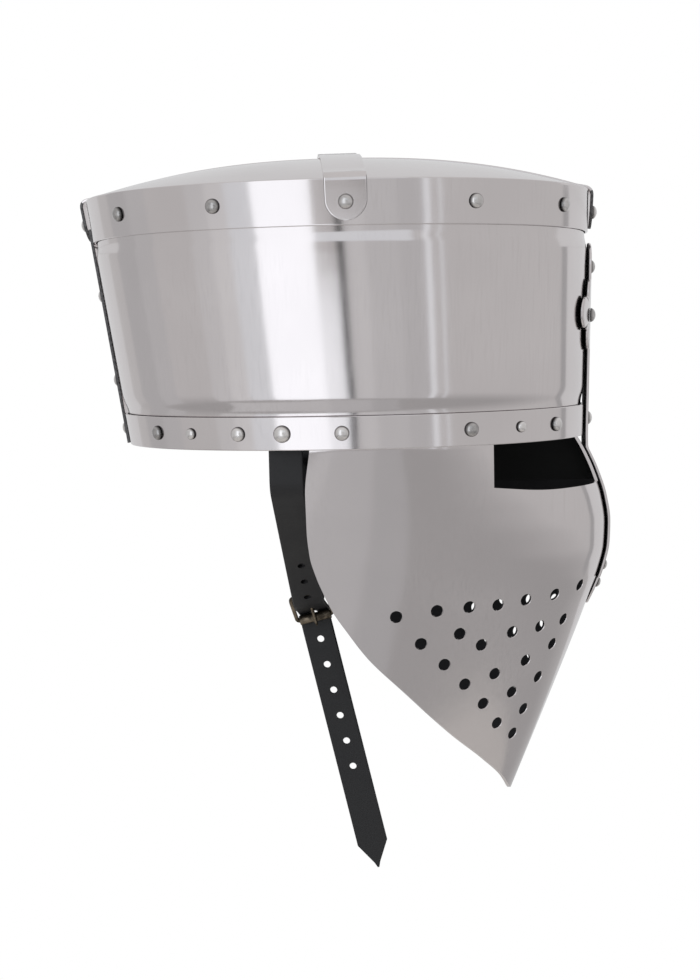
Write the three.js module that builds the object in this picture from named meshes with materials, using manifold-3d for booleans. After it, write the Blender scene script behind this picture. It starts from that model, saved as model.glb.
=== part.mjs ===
// A flat-topped helmet of riveted sheet steel with a pierced face plate and a leather chin strap.
//
// Units are millimetres. +Z is up, -Y is the wearer's front and -X is the wearer's right.
// The origin is the middle of the brow band's lower edge, where the helmet sits on the head.
// A turn is an angle round the helmet: 0 is the wearer's right, 90 degrees the front, 180 the left.

import * as THREE from "three";
import { mergeVertices } from "three/addons/utils/BufferGeometryUtils.js";
import Module from "manifold-3d";

// Sheet and fits
const WALL = 1.6;
const CLEARANCE = 0.3;

// Skull, measured over the brow band and over the crown's flange
const BROW_LENGTH = 240;
const BROW_WIDTH = 214;
const CROWN_LENGTH = 263.3;
const CROWN_WIDTH = 239.6;
const CROWN_SETBACK = 7.6;
const CROWN_HEIGHT = 126.8;
const SECTION_POWER = 2.1;
const DOME_RISE = 18;
const DOME_POWER = 2.35;
const CORNER_RADIUS = 1.5;
const FLANGE_HEIGHT = 21.7;
const BAND_HEIGHT = 16.1;
const JOGGLE_LENGTH = 5;
const JOGGLE_FROM_EDGE = 2.5;
const WALL_INSET = 0.4;
const CAP_LAP = 15;
const DRUM_FOOT = 0.6;

// Face plate
const FACE_DROP = 190;
const FACE_LAP = 13;
const FACE_NARROWING = 34.7;
const CHEEK_SETBACK = 62;
const NOSE_BULGE = 15.4;
const CHIN_SETBACK = 37;
const FACE_REAR_EDGE = 21;
const NASAL_WIDTH = 23;
const SLOT_REAR_DEPTH = 21.5;
const SLOT_FRONT_DEPTH = 24.6;
const SLOT_REAR_EDGE = -70.4;
const HOLE_DIAMETER = 6;

// Front cross
const CROSS_WIDTH = 25;
const CROSS_TOP = 100;
const CROSS_SHOULDER = 76;
const TONGUE_LENGTH = 15;
const TONGUE_WIDTH = 11;
const ARM_REACH = 39;
const ARM_HEIGHT = 36;
const ARM_CENTRE = 62;
const CROSS_LIFT = 0.6;

// Straps of the skull
const STRAP_WIDTH = 20;
const STRAP_END_DROP = 19.5;
const STRAP_CORNER_STANDOFF = 1.2;
const CROSS_STRAP_AT = -3;
const REAR_STRIP_WIDTH = 20;
const REAR_STRIP_BELOW_CORNER = 13.8;

// Rivet heads, by how wide they are and how high they stand for their width
const RIVET_DIAMETER = 7.2;
const SMALL_RIVET_DIAMETER = 5.6;
const LARGE_RIVET_DIAMETER = 8.4;
const RIVET_PROPORTION = 0.36;

// Chin strap
const LEATHER = 2.2;
const CHIN_STRAP_WIDTH = 16.4;
const CHIN_STRAP_TOP = 12;
const CHIN_STRAP_BEND = 19.5;
const CHIN_BEND_RADIUS = 5;
const FOLD_LENGTH = 22;
const HOLE_PITCH = 14.3;
const STRAP_HOLE_DIAMETER = 3.8;
const HOLES_ABOVE = 3;
const HOLES_BELOW = 7;
const TAIL_LENGTH = 139;
const TAIL_POINT = 13.8;

// Buckle: the hinge bar's place, the frame's slope down from it, and its and the tail's lean to the front
const HINGE_X = -19;
const HINGE_Y = 26.9;
const HINGE_Z = -82;
const BUCKLE_SLOPE = 55;
const BUCKLE_LEAN = 12.8;
const BUCKLE_LENGTH = 16.5;
const BUCKLE_BAR = 2;
const BUCKLE_SIDE_GAP = 0.6;
const ROLLER_DIAMETER = 5;
const ROLLER_WALL = 0.75;
const PRONG_DIAMETER = 1.8;
const PRONG_RING_DIAMETER = 4.6;
const PRONG_RING_WIDTH = 3.4;
const PRONG_PAST_ROLLER = 2.5;
const SLOT_CLEARANCE = 0.4;
const STRAP_SLACK = 1.2;
const PRONG_HOLE_AT = 4.5;

// Facets
const FACETS_ROUND = 48;
const RIVET_FACETS = 8;
const HOLE_FACETS = 8;
const LOBE_FACETS = 14;
const SLEEVE_FACETS = 12;
const LONGEST_STEP = 50;

// The face plate's middle line, by how far down the plate it is:
// how much of the nose's bulge and of the chin's setback it has there
const FACE_PROFILE = [
  { down: 0, bulge: 0, back: 0 },
  { down: 0.04, bulge: 0.28, back: 0 },
  { down: 0.1, bulge: 0.61, back: 0 },
  { down: 0.17, bulge: 0.88, back: 0 },
  { down: 0.24, bulge: 1, back: 0 },
  { down: 0.3, bulge: 0.97, back: 0 },
  { down: 0.37, bulge: 0.77, back: 0 },
  { down: 0.45, bulge: 0.38, back: 0 },
  { down: 0.53, bulge: 0, back: 0 },
  { down: 0.74, bulge: 0, back: 0.44 },
  { down: 1, bulge: 0, back: 1 },
];

// The face plate's rear and lower edge: how far back it is between the chin's tip and the rear edge
const FACE_EDGE = [
  { down: 0, back: 0.97 },
  { down: 0.12, back: 1 },
  { down: 0.21, back: 1 },
  { down: 0.28, back: 0.99 },
  { down: 0.33, back: 0.965 },
  { down: 0.375, back: 0.933 },
  { down: 0.43, back: 0.886 },
  { down: 0.485, back: 0.82 },
  { down: 0.56, back: 0.72 },
  { down: 0.655, back: 0.55 },
  { down: 0.79, back: 0.305 },
  { down: 0.87, back: 0.15 },
  { down: 0.936, back: 0.05 },
  { down: 1, back: 0 },
];

// Breath holes of one side: the turn from the side towards the front, and how far down the plate
const BREATH_HOLES = [
  { turn: 18, down: 0.446 },
  { turn: 26, down: 0.435 },
  { turn: 33, down: 0.43 },
  { turn: 40, down: 0.43 },
  { turn: 47.5, down: 0.423 },
  { turn: 57, down: 0.418 },
  { turn: 68, down: 0.404 },
  { turn: 25, down: 0.523 },
  { turn: 33, down: 0.502 },
  { turn: 39.5, down: 0.538 },
  { turn: 47, down: 0.51 },
  { turn: 56, down: 0.504 },
  { turn: 66, down: 0.496 },
  { turn: 32, down: 0.585 },
  { turn: 46.5, down: 0.624 },
  { turn: 55.5, down: 0.597 },
  { turn: 65, down: 0.563 },
  { turn: 39, down: 0.645 },
  { turn: 55, down: 0.684 },
  { turn: 64.5, down: 0.654 },
  { turn: 46.5, down: 0.706 },
  { turn: 63.5, down: 0.742 },
  { turn: 54, down: 0.769 },
  { turn: 63, down: 0.81 },
];

// The three lobes at the end of one arm of the cross, as shares of the arm's reach and height
const ARM_LOBES = [
  { out: 0.41, up: 0.3, radius: 0.22 },
  { out: 0.78, up: 0.03, radius: 0.235 },
  { out: 0.43, up: -0.27, radius: 0.23 },
];

// The straight part that the lobes stand on, in the same shares
const ARM_BAR = { out: 0.62, up: 0.3 };

// Rivets of one side, by how far forward of the section's middle they are, as a share of half its length
const FLANGE_RIVETS = [
  { forward: -0.797, diameter: RIVET_DIAMETER },
  { forward: -0.408, diameter: RIVET_DIAMETER },
  { forward: 0.539, diameter: RIVET_DIAMETER },
  { forward: 0.875, diameter: RIVET_DIAMETER },
];
const BROW_RIVETS = [
  { forward: -0.79, diameter: RIVET_DIAMETER },
  { forward: -0.633, diameter: SMALL_RIVET_DIAMETER },
  { forward: -0.43, diameter: RIVET_DIAMETER },
  { forward: -0.25, diameter: LARGE_RIVET_DIAMETER },
  { forward: -0.012, diameter: RIVET_DIAMETER },
  { forward: 0.498, diameter: RIVET_DIAMETER },
  { forward: 0.7, diameter: SMALL_RIVET_DIAMETER },
  { forward: 0.85, diameter: RIVET_DIAMETER },
];

// Rivets of the rear strip, as shares of the way up it
const REAR_RIVETS = [0.07, 0.3, 0.7];

// Worked-out places
const JOGGLE = WALL + CLEARANCE;
const FACE_INSET = 2 * (WALL + CLEARANCE);
const FLANGE_FOOT = CROWN_HEIGHT - FLANGE_HEIGHT;
const REAR_STRIP_TOP = CROWN_HEIGHT - REAR_STRIP_BELOW_CORNER;
const STEP = (2 * Math.PI) / FACETS_ROUND;
const FOLD_RADIUS = BUCKLE_BAR * Math.SQRT1_2 + CLEARANCE + LEATHER / 2;
const ON_SHEET = CLEARANCE + WALL / 2;
const SIDES = [
  { name: "right", side: -1 },
  { name: "left", side: 1 },
];

// Colours and finishes
const STEEL = { color: 0xb2aead, roughness: 0.32, metalness: 1 };
const DARK_LEATHER = { color: 0x232224, roughness: 0.6, metalness: 0 };
const AGED_BRASS = { color: 0x8a7d68, roughness: 0.45, metalness: 1 };

const wasm = await Module();
wasm.setup();

const group = new THREE.Group();

// Solids from points

function radians(degrees) {
  return (degrees * Math.PI) / 180;
}

function vector(x, y, z) {
  return new THREE.Vector3(x, y, z);
}

function signedVolume(points, triangles) {
  const cross = vector(0, 0, 0);
  let sum = 0;
  for (const [a, b, c] of triangles) {
    sum += points[a].dot(cross.crossVectors(points[b], points[c]));
  }
  return sum / 6;
}

function meshOf(points, triangles) {
  const outward = signedVolume(points, triangles) > 0;
  const index = triangles.flatMap(([a, b, c]) => (outward ? [a, b, c] : [a, c, b]));
  const geometry = new THREE.BufferGeometry();
  const places = points.flatMap((point) => point.toArray());
  geometry.setAttribute("position", new THREE.Float32BufferAttribute(places, 3));
  geometry.setIndex(index);
  return withoutSlivers(mergeVertices(geometry, 1e-4));
}

// Drops triangles that use one point twice, such as those at a dome's crown.
function withoutSlivers(geometry) {
  const from = geometry.index.array;
  const kept = [];
  for (let i = 0; i < from.length; i += 3) {
    const [a, b, c] = [from[i], from[i + 1], from[i + 2]];
    if (a !== b && b !== c && c !== a) {
      kept.push(a, b, c);
    }
  }
  geometry.setIndex(kept);
  return geometry;
}

// Joins sections that each go once round, with a flat cap of facing pairs at both ends unless it is closed.
function loft(sections, closed = false) {
  const size = sections[0].length;
  const triangles = [];
  const quad = (a, b, c, d) => triangles.push([a, b, c], [a, c, d]);
  const joins = closed ? sections.length : sections.length - 1;
  for (let s = 0; s < joins; s++) {
    const here = s * size;
    const next = ((s + 1) % sections.length) * size;
    for (let i = 0; i < size; i++) {
      const j = (i + 1) % size;
      quad(here + i, here + j, next + j, next + i);
    }
  }
  if (!closed) {
    const end = (sections.length - 1) * size;
    for (let i = 0; i < size / 2 - 1; i++) {
      const facing = size - 1 - i;
      quad(i + 1, i, facing, facing - 1);
      quad(end + i, end + i + 1, end + facing - 1, end + facing);
    }
  }
  return meshOf(sections.flat(), triangles);
}

// Booleans

function toSolid(geometry) {
  const bare = geometry.clone();
  bare.deleteAttribute("normal");
  bare.deleteAttribute("uv");
  const merged = mergeVertices(bare, 1e-4);
  const vertProperties = merged.attributes.position.array;
  const triVerts = new Uint32Array(merged.index.array);
  return new wasm.Manifold(new wasm.Mesh({ numProp: 3, vertProperties, triVerts }));
}

function toGeometry(solid) {
  const mesh = solid.getMesh();
  const geometry = new THREE.BufferGeometry();
  geometry.setAttribute("position", new THREE.Float32BufferAttribute(mesh.vertProperties, 3));
  geometry.setIndex(Array.from(mesh.triVerts));
  return geometry;
}

function cut(geometry, cutters) {
  return toGeometry(cutters.reduce((solid, cutter) => solid.subtract(toSolid(cutter)), toSolid(geometry)));
}

function join(geometries) {
  return toGeometry(geometries.map(toSolid).reduce((solid, next) => solid.add(next)));
}

function common(a, b) {
  return toGeometry(toSolid(a).intersect(toSolid(b)));
}

// Moves a geometry so that its own X, Y and Z lie along three directions at a place.
function placed(geometry, x, y, z, at) {
  return geometry.clone().applyMatrix4(new THREE.Matrix4().makeBasis(x, y, z).setPosition(at));
}

// A prism along X from a side view of [y, z] corners.
function sidePrism(corners, fromX, toX) {
  const shape = new THREE.Shape(corners.map(([y, z]) => new THREE.Vector2(y, z)));
  const prism = new THREE.ExtrudeGeometry(shape, { depth: toX - fromX, bevelEnabled: false });
  return placed(prism, vector(0, 1, 0), vector(0, 0, 1), vector(1, 0, 0), vector(fromX, 0, 0));
}

// A round pin of a diameter, centred at a place and lying along a direction.
function pin(diameter, length, at, along, facets = HOLE_FACETS) {
  const round = new THREE.CylinderGeometry(diameter / 2, diameter / 2, length, facets);
  const turn = new THREE.Quaternion().setFromUnitVectors(vector(0, 1, 0), along);
  return round.applyQuaternion(turn).translate(at.x, at.y, at.z);
}

function add(name, geometry, finish, holder = group) {
  const mesh = new THREE.Mesh(geometry, new THREE.MeshStandardMaterial(finish));
  mesh.name = name;
  holder.add(mesh);
}

// The shape of the sheets

function powered(value) {
  return Math.sign(value) * Math.abs(value) ** (2 / SECTION_POWER);
}

// The half sizes of the skull's outside at a height above the brow.
function skullSection(height) {
  const share = height / CROWN_HEIGHT;
  return {
    halfLength: THREE.MathUtils.lerp(BROW_LENGTH, CROWN_LENGTH, share) / 2,
    halfWidth: THREE.MathUtils.lerp(BROW_WIDTH, CROWN_WIDTH, share) / 2,
    middle: CROWN_SETBACK * share,
  };
}

function onSection(section, turn, inset, height) {
  const x = -(section.halfWidth - inset) * powered(Math.cos(turn));
  const y = section.middle - (section.halfLength - inset) * powered(Math.sin(turn));
  return vector(x, y, height);
}

function skullPoint(turn, height, inset = 0) {
  return onSection(skullSection(height), turn, inset, height);
}

// A point of the domed top, where reach is 0 at its middle and 1 at the flange's corner.
function domePoint(turn, reach, below = 0) {
  const section = skullSection(CROWN_HEIGHT);
  const x = -(section.halfWidth - CORNER_RADIUS) * reach * powered(Math.cos(turn));
  const y = section.middle - (section.halfLength - CORNER_RADIUS) * reach * powered(Math.sin(turn));
  return vector(x, y, domeHeight(reach) - below);
}

function domeHeight(reach) {
  return CROWN_HEIGHT + DOME_RISE * (1 - reach ** DOME_POWER);
}

// How far out of the dome's middle a place in plan lies, as its reach.
function domeReach(x, y) {
  const section = skullSection(CROWN_HEIGHT);
  const across = Math.abs(x) / (section.halfWidth - CORNER_RADIUS);
  const along = Math.abs(y - section.middle) / (section.halfLength - CORNER_RADIUS);
  return (across ** SECTION_POWER + along ** SECTION_POWER) ** (1 / SECTION_POWER);
}

// Reads a column of a table between its rows.
function between(table, column, down) {
  const after = table.findIndex((row) => row.down >= down);
  if (after <= 0) {
    return after === 0 ? table[0][column] : table.at(-1)[column];
  }
  const [low, high] = [table[after - 1], table[after]];
  return THREE.MathUtils.mapLinear(down, low.down, high.down, low[column], high[column]);
}

// The face plate's outside, by how far down it is as a share of its drop.
function faceSection(down) {
  const brow = skullSection(0);
  const front = -(brow.halfLength - FACE_INSET)
    - NOSE_BULGE * between(FACE_PROFILE, "bulge", down)
    + CHIN_SETBACK * between(FACE_PROFILE, "back", down);
  const middle = CHEEK_SETBACK * down;
  const narrowing = FACE_NARROWING * (1.5 * down - 0.5 * down ** 2);
  return { halfWidth: brow.halfWidth - FACE_INSET - narrowing, halfLength: middle - front, middle };
}

function facePoint(turn, height, inset = 0) {
  if (height > 0) {
    return skullPoint(turn, height, FACE_INSET + inset);
  }
  return onSection(faceSection(-height / FACE_DROP), turn, inset, height);
}

function faceNormal(turn, height) {
  const small = 0.01;
  const round = facePoint(turn + small, height).sub(facePoint(turn - small, height));
  const up = facePoint(turn, height + 1).sub(facePoint(turn, height - 1));
  return up.cross(round).normalize().negate();
}

// The front of a section at a distance out from the middle line.
function frontOf(section, x) {
  const share = Math.abs(x) / section.halfWidth;
  return section.middle - section.halfLength * (1 - share ** SECTION_POWER) ** (1 / SECTION_POWER);
}

// How far out the side of a section is at a distance from the front.
function sideOf(section, y, inset) {
  const share = Math.abs(y - section.middle) / (section.halfLength - inset);
  return (section.halfWidth - inset) * (1 - share ** SECTION_POWER) ** (1 / SECTION_POWER);
}

// The front that the cross lies on: the skull and the brow band, then the face plate.
function frontAt(x, height) {
  if (height >= 0) {
    return frontOf(skullSection(height), x);
  }
  return Math.min(frontOf(skullSection(0), x), frontOf(faceSection(-height / FACE_DROP), x));
}

// Skull

function ringBody(profileAt) {
  const turns = Array.from({ length: FACETS_ROUND }, (_, i) => i * STEP);
  return loft(turns.map(profileAt), true);
}

function wallProfile(rows) {
  return (turn) => [
    ...rows.map(({ height, inset }) => skullPoint(turn, height, inset)),
    ...rows.toReversed().map(({ height, inset }) => skullPoint(turn, height, inset + WALL)),
  ];
}

function topCap() {
  const reaches = [0, 0.3, 0.55, 0.75, 0.9];
  return ringBody((turn) => [
    ...reaches.map((reach) => domePoint(turn, reach)),
    domePoint(turn, 1),
    skullPoint(turn, CROWN_HEIGHT - CORNER_RADIUS),
    skullPoint(turn, FLANGE_FOOT),
    skullPoint(turn, FLANGE_FOOT, WALL),
    skullPoint(turn, CROWN_HEIGHT - CORNER_RADIUS - CLEARANCE, WALL),
    ...reaches.toReversed().map((reach) => domePoint(turn, reach, WALL)),
  ]);
}

function skullDrum() {
  const foot = BAND_HEIGHT + JOGGLE_FROM_EDGE;
  const head = FLANGE_FOOT - JOGGLE_FROM_EDGE;
  return ringBody(wallProfile([
    { height: DRUM_FOOT, inset: JOGGLE },
    { height: foot, inset: JOGGLE },
    { height: foot + JOGGLE_LENGTH, inset: WALL_INSET },
    { height: head - JOGGLE_LENGTH, inset: WALL_INSET },
    { height: head, inset: JOGGLE },
    { height: FLANGE_FOOT + CAP_LAP, inset: JOGGLE },
  ]));
}

function browBand() {
  return ringBody(wallProfile([{ height: 0, inset: 0 }, { height: BAND_HEIGHT, inset: 0 }]));
}

// Face plate

function chinTip() {
  const { middle, halfLength } = faceSection(1);
  return middle - halfLength;
}

function faceSheet() {
  const turns = Array.from({ length: FACETS_ROUND / 2 + 5 }, (_, i) => (i - 2) * STEP);
  const downs = FACE_PROFILE.map((row) => row.down);
  const heights = [FACE_LAP, ...downs.map((down) => -down * FACE_DROP), -FACE_DROP - WALL];
  return loft(heights.map((height) => [
    ...turns.map((turn) => facePoint(turn, height)),
    ...turns.toReversed().map((turn) => facePoint(turn, height, WALL)),
  ]));
}

function faceOutline() {
  const tip = chinTip();
  const beyond = -BROW_LENGTH;
  const edge = FACE_EDGE.map(({ down, back }) => [tip + (FACE_REAR_EDGE - tip) * back, -down * FACE_DROP]);
  const top = [edge[0][0], FACE_LAP + WALL];
  return sidePrism([top, ...edge, [beyond, -FACE_DROP], [beyond, FACE_LAP + WALL]], -BROW_WIDTH, BROW_WIDTH);
}

function eyeSlot(side) {
  const beyond = -BROW_LENGTH;
  const edges = [side * (NASAL_WIDTH / 2), side * BROW_WIDTH].sort((a, b) => a - b);
  const corners = [
    [SLOT_REAR_EDGE, 0],
    [SLOT_REAR_EDGE, -SLOT_REAR_DEPTH],
    [SLOT_REAR_EDGE - CROSS_WIDTH, -SLOT_FRONT_DEPTH],
    [beyond, -SLOT_FRONT_DEPTH],
    [beyond, 0],
  ];
  return sidePrism(corners, ...edges);
}

function breathHole(turn, height) {
  const length = 8 * WALL;
  return pin(HOLE_DIAMETER, length, facePoint(turn, height), faceNormal(turn, height));
}

function facePlate() {
  const holes = BREATH_HOLES.flatMap(({ turn, down }) => [
    breathHole(radians(turn), -down * FACE_DROP),
    breathHole(radians(180 - turn), -down * FACE_DROP),
  ]);
  const slots = SIDES.map(({ side }) => eyeSlot(side));
  return cut(common(faceSheet(), faceOutline()), [...slots, ...holes]);
}

// Front cross

function crossLayer() {
  const half = ARM_REACH + CROSS_LIFT;
  const columns = Array.from({ length: 13 }, (_, i) => half * (i / 6 - 1));
  const foot = CROSS_SHOULDER + TONGUE_LENGTH;
  const drops = FACE_PROFILE.map((row) => row.down * FACE_DROP).filter((drop) => drop < foot);
  const levels = [CROSS_TOP, ARM_CENTRE, ...drops.map((drop) => -drop), -foot];
  const layer = (x, height, out) => {
    const lift = CROSS_LIFT * Math.min(1, Math.abs(x) / (CROSS_WIDTH / 2));
    return vector(x, frontAt(x, height) - CLEARANCE - lift - out, height);
  };
  return loft(levels.map((height) => [
    ...columns.map((x) => layer(x, height, 0)),
    ...columns.toReversed().map((x) => layer(x, height, WALL)),
  ]));
}

// A prism along Y from a front view of [x, z] corners.
function frontPrism(corners) {
  const shape = new THREE.Shape(corners.map(([x, z]) => new THREE.Vector2(x, z)));
  const prism = new THREE.ExtrudeGeometry(shape, { depth: BROW_LENGTH, bevelEnabled: false });
  return placed(prism, vector(1, 0, 0), vector(0, 0, 1), vector(0, -1, 0), vector(0, 0, 0));
}

function crossBar() {
  const half = CROSS_WIDTH / 2;
  const round = Array.from({ length: 7 }, (_, i) => {
    const angle = (Math.PI * i) / 6;
    return [half * Math.cos(angle), CROSS_TOP - half + half * Math.sin(angle)];
  });
  const tongue = [
    [-half, -CROSS_SHOULDER],
    [-TONGUE_WIDTH / 2, -CROSS_SHOULDER],
    [-TONGUE_WIDTH / 2, -CROSS_SHOULDER - TONGUE_LENGTH / 2],
    [0, -CROSS_SHOULDER - TONGUE_LENGTH],
    [TONGUE_WIDTH / 2, -CROSS_SHOULDER - TONGUE_LENGTH / 2],
    [TONGUE_WIDTH / 2, -CROSS_SHOULDER],
    [half, -CROSS_SHOULDER],
  ];
  return frontPrism([...round, ...tongue]);
}

function armLobe(side, { out, up, radius }) {
  const at = vector(side * out * ARM_REACH, -BROW_LENGTH / 2, ARM_CENTRE + up * ARM_HEIGHT);
  return pin(2 * radius * ARM_HEIGHT, BROW_LENGTH, at, vector(0, 1, 0), LOBE_FACETS);
}

function armBar() {
  const [out, up] = [ARM_BAR.out * ARM_REACH, ARM_BAR.up * ARM_HEIGHT];
  const [low, high] = [ARM_CENTRE - up, ARM_CENTRE + up];
  return frontPrism([[-out, low], [out, low], [out, high], [-out, high]]);
}

function frontCross() {
  const lobes = SIDES.flatMap(({ side }) => ARM_LOBES.map((lobe) => armLobe(side, lobe)));
  return common(crossLayer(), join([crossBar(), armBar(), ...lobes]));
}

// Straps, which are flat across their width

// Replaces each inner corner of a route by an arc of about the given radius.
function rounded(route, radius, steps = 3) {
  const points = [route[0]];
  for (let i = 1; i < route.length - 1; i++) {
    const [before, corner, after] = [route[i - 1], route[i], route[i + 1]];
    const reach = Math.min(radius, corner.distanceTo(before) / 2.1, corner.distanceTo(after) / 2.1);
    const from = corner.clone().lerp(before, reach / corner.distanceTo(before));
    const to = corner.clone().lerp(after, reach / corner.distanceTo(after));
    const arc = new THREE.QuadraticBezierCurve3(from, corner, to);
    points.push(...arc.getPoints(steps));
  }
  points.push(route.at(-1));
  return points;
}

const ACROSS_FRONT = () => vector(1, 0, 0);
const ACROSS_SIDE = () => vector(0, 1, 0);

// The directions across and out of a strap at each point of its route.
// The rule `across` gives its width's direction.
function frames(route, across) {
  return route.map((point, i) => {
    const before = route[Math.max(i - 1, 0)];
    const after = route[Math.min(i + 1, route.length - 1)];
    const along = after.clone().sub(before).normalize();
    const wide = across(point);
    wide.addScaledVector(along, -wide.dot(along)).normalize();
    return { point, wide, out: wide.clone().cross(along) };
  });
}

// A strap of a thickness whose middle runs along a route, and whose half width is given at each point.
function strap(route, halfWidths, thickness, across) {
  return loft(frames(route, across).map(({ point, wide, out }, i) => {
    const corner = (w, t) => {
      const beside = point.clone().addScaledVector(wide, w * halfWidths[i]);
      return beside.addScaledVector(out, t * thickness);
    };
    return [corner(-1, 0.5), corner(1, 0.5), corner(1, -0.5), corner(-1, -0.5)];
  }));
}

// The route with both ends cut into short steps, and the half widths that round them off.
function roundEnded(route, width) {
  const half = width / 2;
  const steps = [0, 0.12, 0.35, 0.7];
  const endOf = (from, to) => {
    const reach = half / from.distanceTo(to);
    return steps.map((share) => from.clone().lerp(to, share * reach));
  };
  const widths = steps.map((share) => half * Math.sqrt(1 - (1 - Math.max(share, 0.04)) ** 2));
  const middle = route.slice(1, -1);
  const first = endOf(route[0], route[1]);
  const last = endOf(route.at(-1), route.at(-2)).reverse();
  const points = [...first, ...middle, ...last];
  const halfWidths = [...widths, ...middle.map(() => half), ...widths.toReversed()];
  return { points, halfWidths };
}

// From the rear of the flange over the dome to its front. The rear end lies on the rear strip.
function longRoute() {
  const reaches = [0.96, 0.88, 0.78, 0.66, 0.5, 0.3];
  const half = (turn, out) => {
    const ahead = vector(0, turn > 0 ? -1 : 1, 0);
    const foot = skullPoint(turn, CROWN_HEIGHT - STRAP_END_DROP).addScaledVector(ahead, out);
    const corner = skullPoint(turn, CROWN_HEIGHT).addScaledVector(ahead, out + STRAP_CORNER_STANDOFF / 2);
    corner.z += ON_SHEET;
    const dome = reaches.map((reach) => domePoint(turn, reach).add(vector(0, 0, ON_SHEET)));
    return [foot, corner, ...dome];
  };
  const rear = half(-Math.PI / 2, ON_SHEET + WALL + CLEARANCE);
  const front = half(Math.PI / 2, ON_SHEET);
  return [...rear, domePoint(0, 0).add(vector(0, 0, ON_SHEET)), ...front.reverse()];
}

function crownStrapLong() {
  const { points, halfWidths } = roundEnded(rounded(longRoute(), 4, 2), STRAP_WIDTH);
  return strap(points, halfWidths, WALL, ACROSS_FRONT);
}

// From the right of the flange over the dome, and over the long strap, to the left.
// In plan it is straight through the dome's middle, so its left half is its right half turned.
function crossRoute() {
  const section = skullSection(CROWN_HEIGHT);
  const turn = turnOf((section.middle - CROSS_STRAP_AT) / section.halfLength, -1);
  const edge = (height, out) => vector(skullPoint(turn, height).x - out, CROSS_STRAP_AT, height);
  const corner = edge(CROWN_HEIGHT, ON_SHEET + STRAP_CORNER_STANDOFF / 2);
  corner.z += ON_SHEET + STRAP_CORNER_STANDOFF / 2;
  const overLong = STRAP_WIDTH / 2 + 2 * WALL;
  const outs = [0.94, 0.85, 0.75, 0.64, 0.48].map((share) => share * section.halfWidth);
  const crest = [...outs, 2 * overLong, overLong, 0].map((out) => {
    const stacked = out <= overLong ? WALL + 2 * CLEARANCE : CLEARANCE / 2;
    const y = THREE.MathUtils.mapLinear(out, 0, -corner.x, section.middle, CROSS_STRAP_AT);
    return vector(-out, y, domeHeight(domeReach(out, y)) + ON_SHEET + stacked);
  });
  const half = [edge(CROWN_HEIGHT - STRAP_END_DROP, ON_SHEET), corner, ...crest];
  const turned = half.slice(0, -1).map(({ x, y, z }) => vector(-x, 2 * section.middle - y, z));
  return [...half, ...turned.reverse()];
}

function crownStrapCross() {
  const { points, halfWidths } = roundEnded(rounded(crossRoute(), 4, 2), STRAP_WIDTH);
  return strap(points, halfWidths, WALL, ACROSS_SIDE);
}

function rearPoint(height, out) {
  const { middle, halfLength } = skullSection(height);
  return vector(0, middle + halfLength + out, height);
}

function rearRoute() {
  return [rearPoint(0, ON_SHEET), rearPoint(REAR_STRIP_TOP, ON_SHEET)];
}

function rearStrip() {
  const half = REAR_STRIP_WIDTH / 2;
  return strap(rearRoute(), [half, half], WALL, ACROSS_FRONT);
}

// Chin strap

// The direction that the tail hangs in.
function tailDirection() {
  const lean = radians(BUCKLE_LEAN);
  return vector(0, -Math.sin(lean), -Math.cos(lean));
}

function buckleFrame() {
  const [slope, lean] = [radians(BUCKLE_SLOPE), radians(BUCKLE_LEAN)];
  const along = vector(Math.cos(slope), 0, 0).addScaledVector(tailDirection(), Math.sin(slope));
  const wide = vector(0, Math.cos(lean), -Math.sin(lean));
  return { hinge: vector(HINGE_X, HINGE_Y, HINGE_Z), along, wide, out: wide.clone().cross(along) };
}

// The chin straps lie square to the wearer at the drum, and have turned to the buckle's lean by their fold.
function acrossChin(point) {
  const settled = HINGE_Z + FOLD_LENGTH / 2;
  const share = THREE.MathUtils.clamp((point.z + CHIN_STRAP_BEND) / (settled + CHIN_STRAP_BEND), 0, 1);
  return vector(0, 1, 0).lerp(buckleFrame().wide, share);
}

// A place in the buckle: how far along from the hinge bar, and how far out of its face.
function inBuckle(along, out) {
  const frame = buckleFrame();
  return frame.hinge.clone().addScaledVector(frame.along, along).addScaledVector(frame.out, out);
}

// The strap hangs flat inside the drum, close behind the face plate's rear edge.
function strapTop(side) {
  const front = FACE_REAR_EDGE + 2 * CLEARANCE;
  const inside = sideOf(skullSection(0), front + CHIN_STRAP_WIDTH, JOGGLE + WALL + CLEARANCE);
  const [x, y] = [side * (inside - LEATHER / 2), front + CHIN_STRAP_WIDTH / 2];
  return [vector(x, y, CHIN_STRAP_TOP), vector(x, y, -CHIN_STRAP_BEND)];
}

// Puts points along a route's long stretches, so that a strap can turn evenly along them.
function stepped(route, longest) {
  return route.flatMap((point, i) => {
    const next = route[i + 1] ?? point;
    const count = Math.max(1, Math.ceil(point.distanceTo(next) / longest));
    return Array.from({ length: count }, (_, k) => point.clone().lerp(next, k / count));
  });
}

// Over the hinge bar, behind the roller and straight down.
function rightRoute() {
  const overHinge = FOLD_RADIUS + LEATHER + CLEARANCE + STRAP_SLACK;
  const behindRoller = ROLLER_DIAMETER / 2 + CLEARANCE + LEATHER / 2;
  const roller = inBuckle(BUCKLE_LENGTH, -behindRoller - STRAP_SLACK);
  const pastRoller = vector(behindRoller + STRAP_SLACK / 2, 0, -ROLLER_DIAMETER / 2);
  const hang = inBuckle(BUCKLE_LENGTH, 0).add(pastRoller);
  const tip = hang.clone().addScaledVector(tailDirection(), TAIL_LENGTH);
  return [...strapTop(-1), inBuckle(0, overHinge), roller, hang, tip];
}

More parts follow.
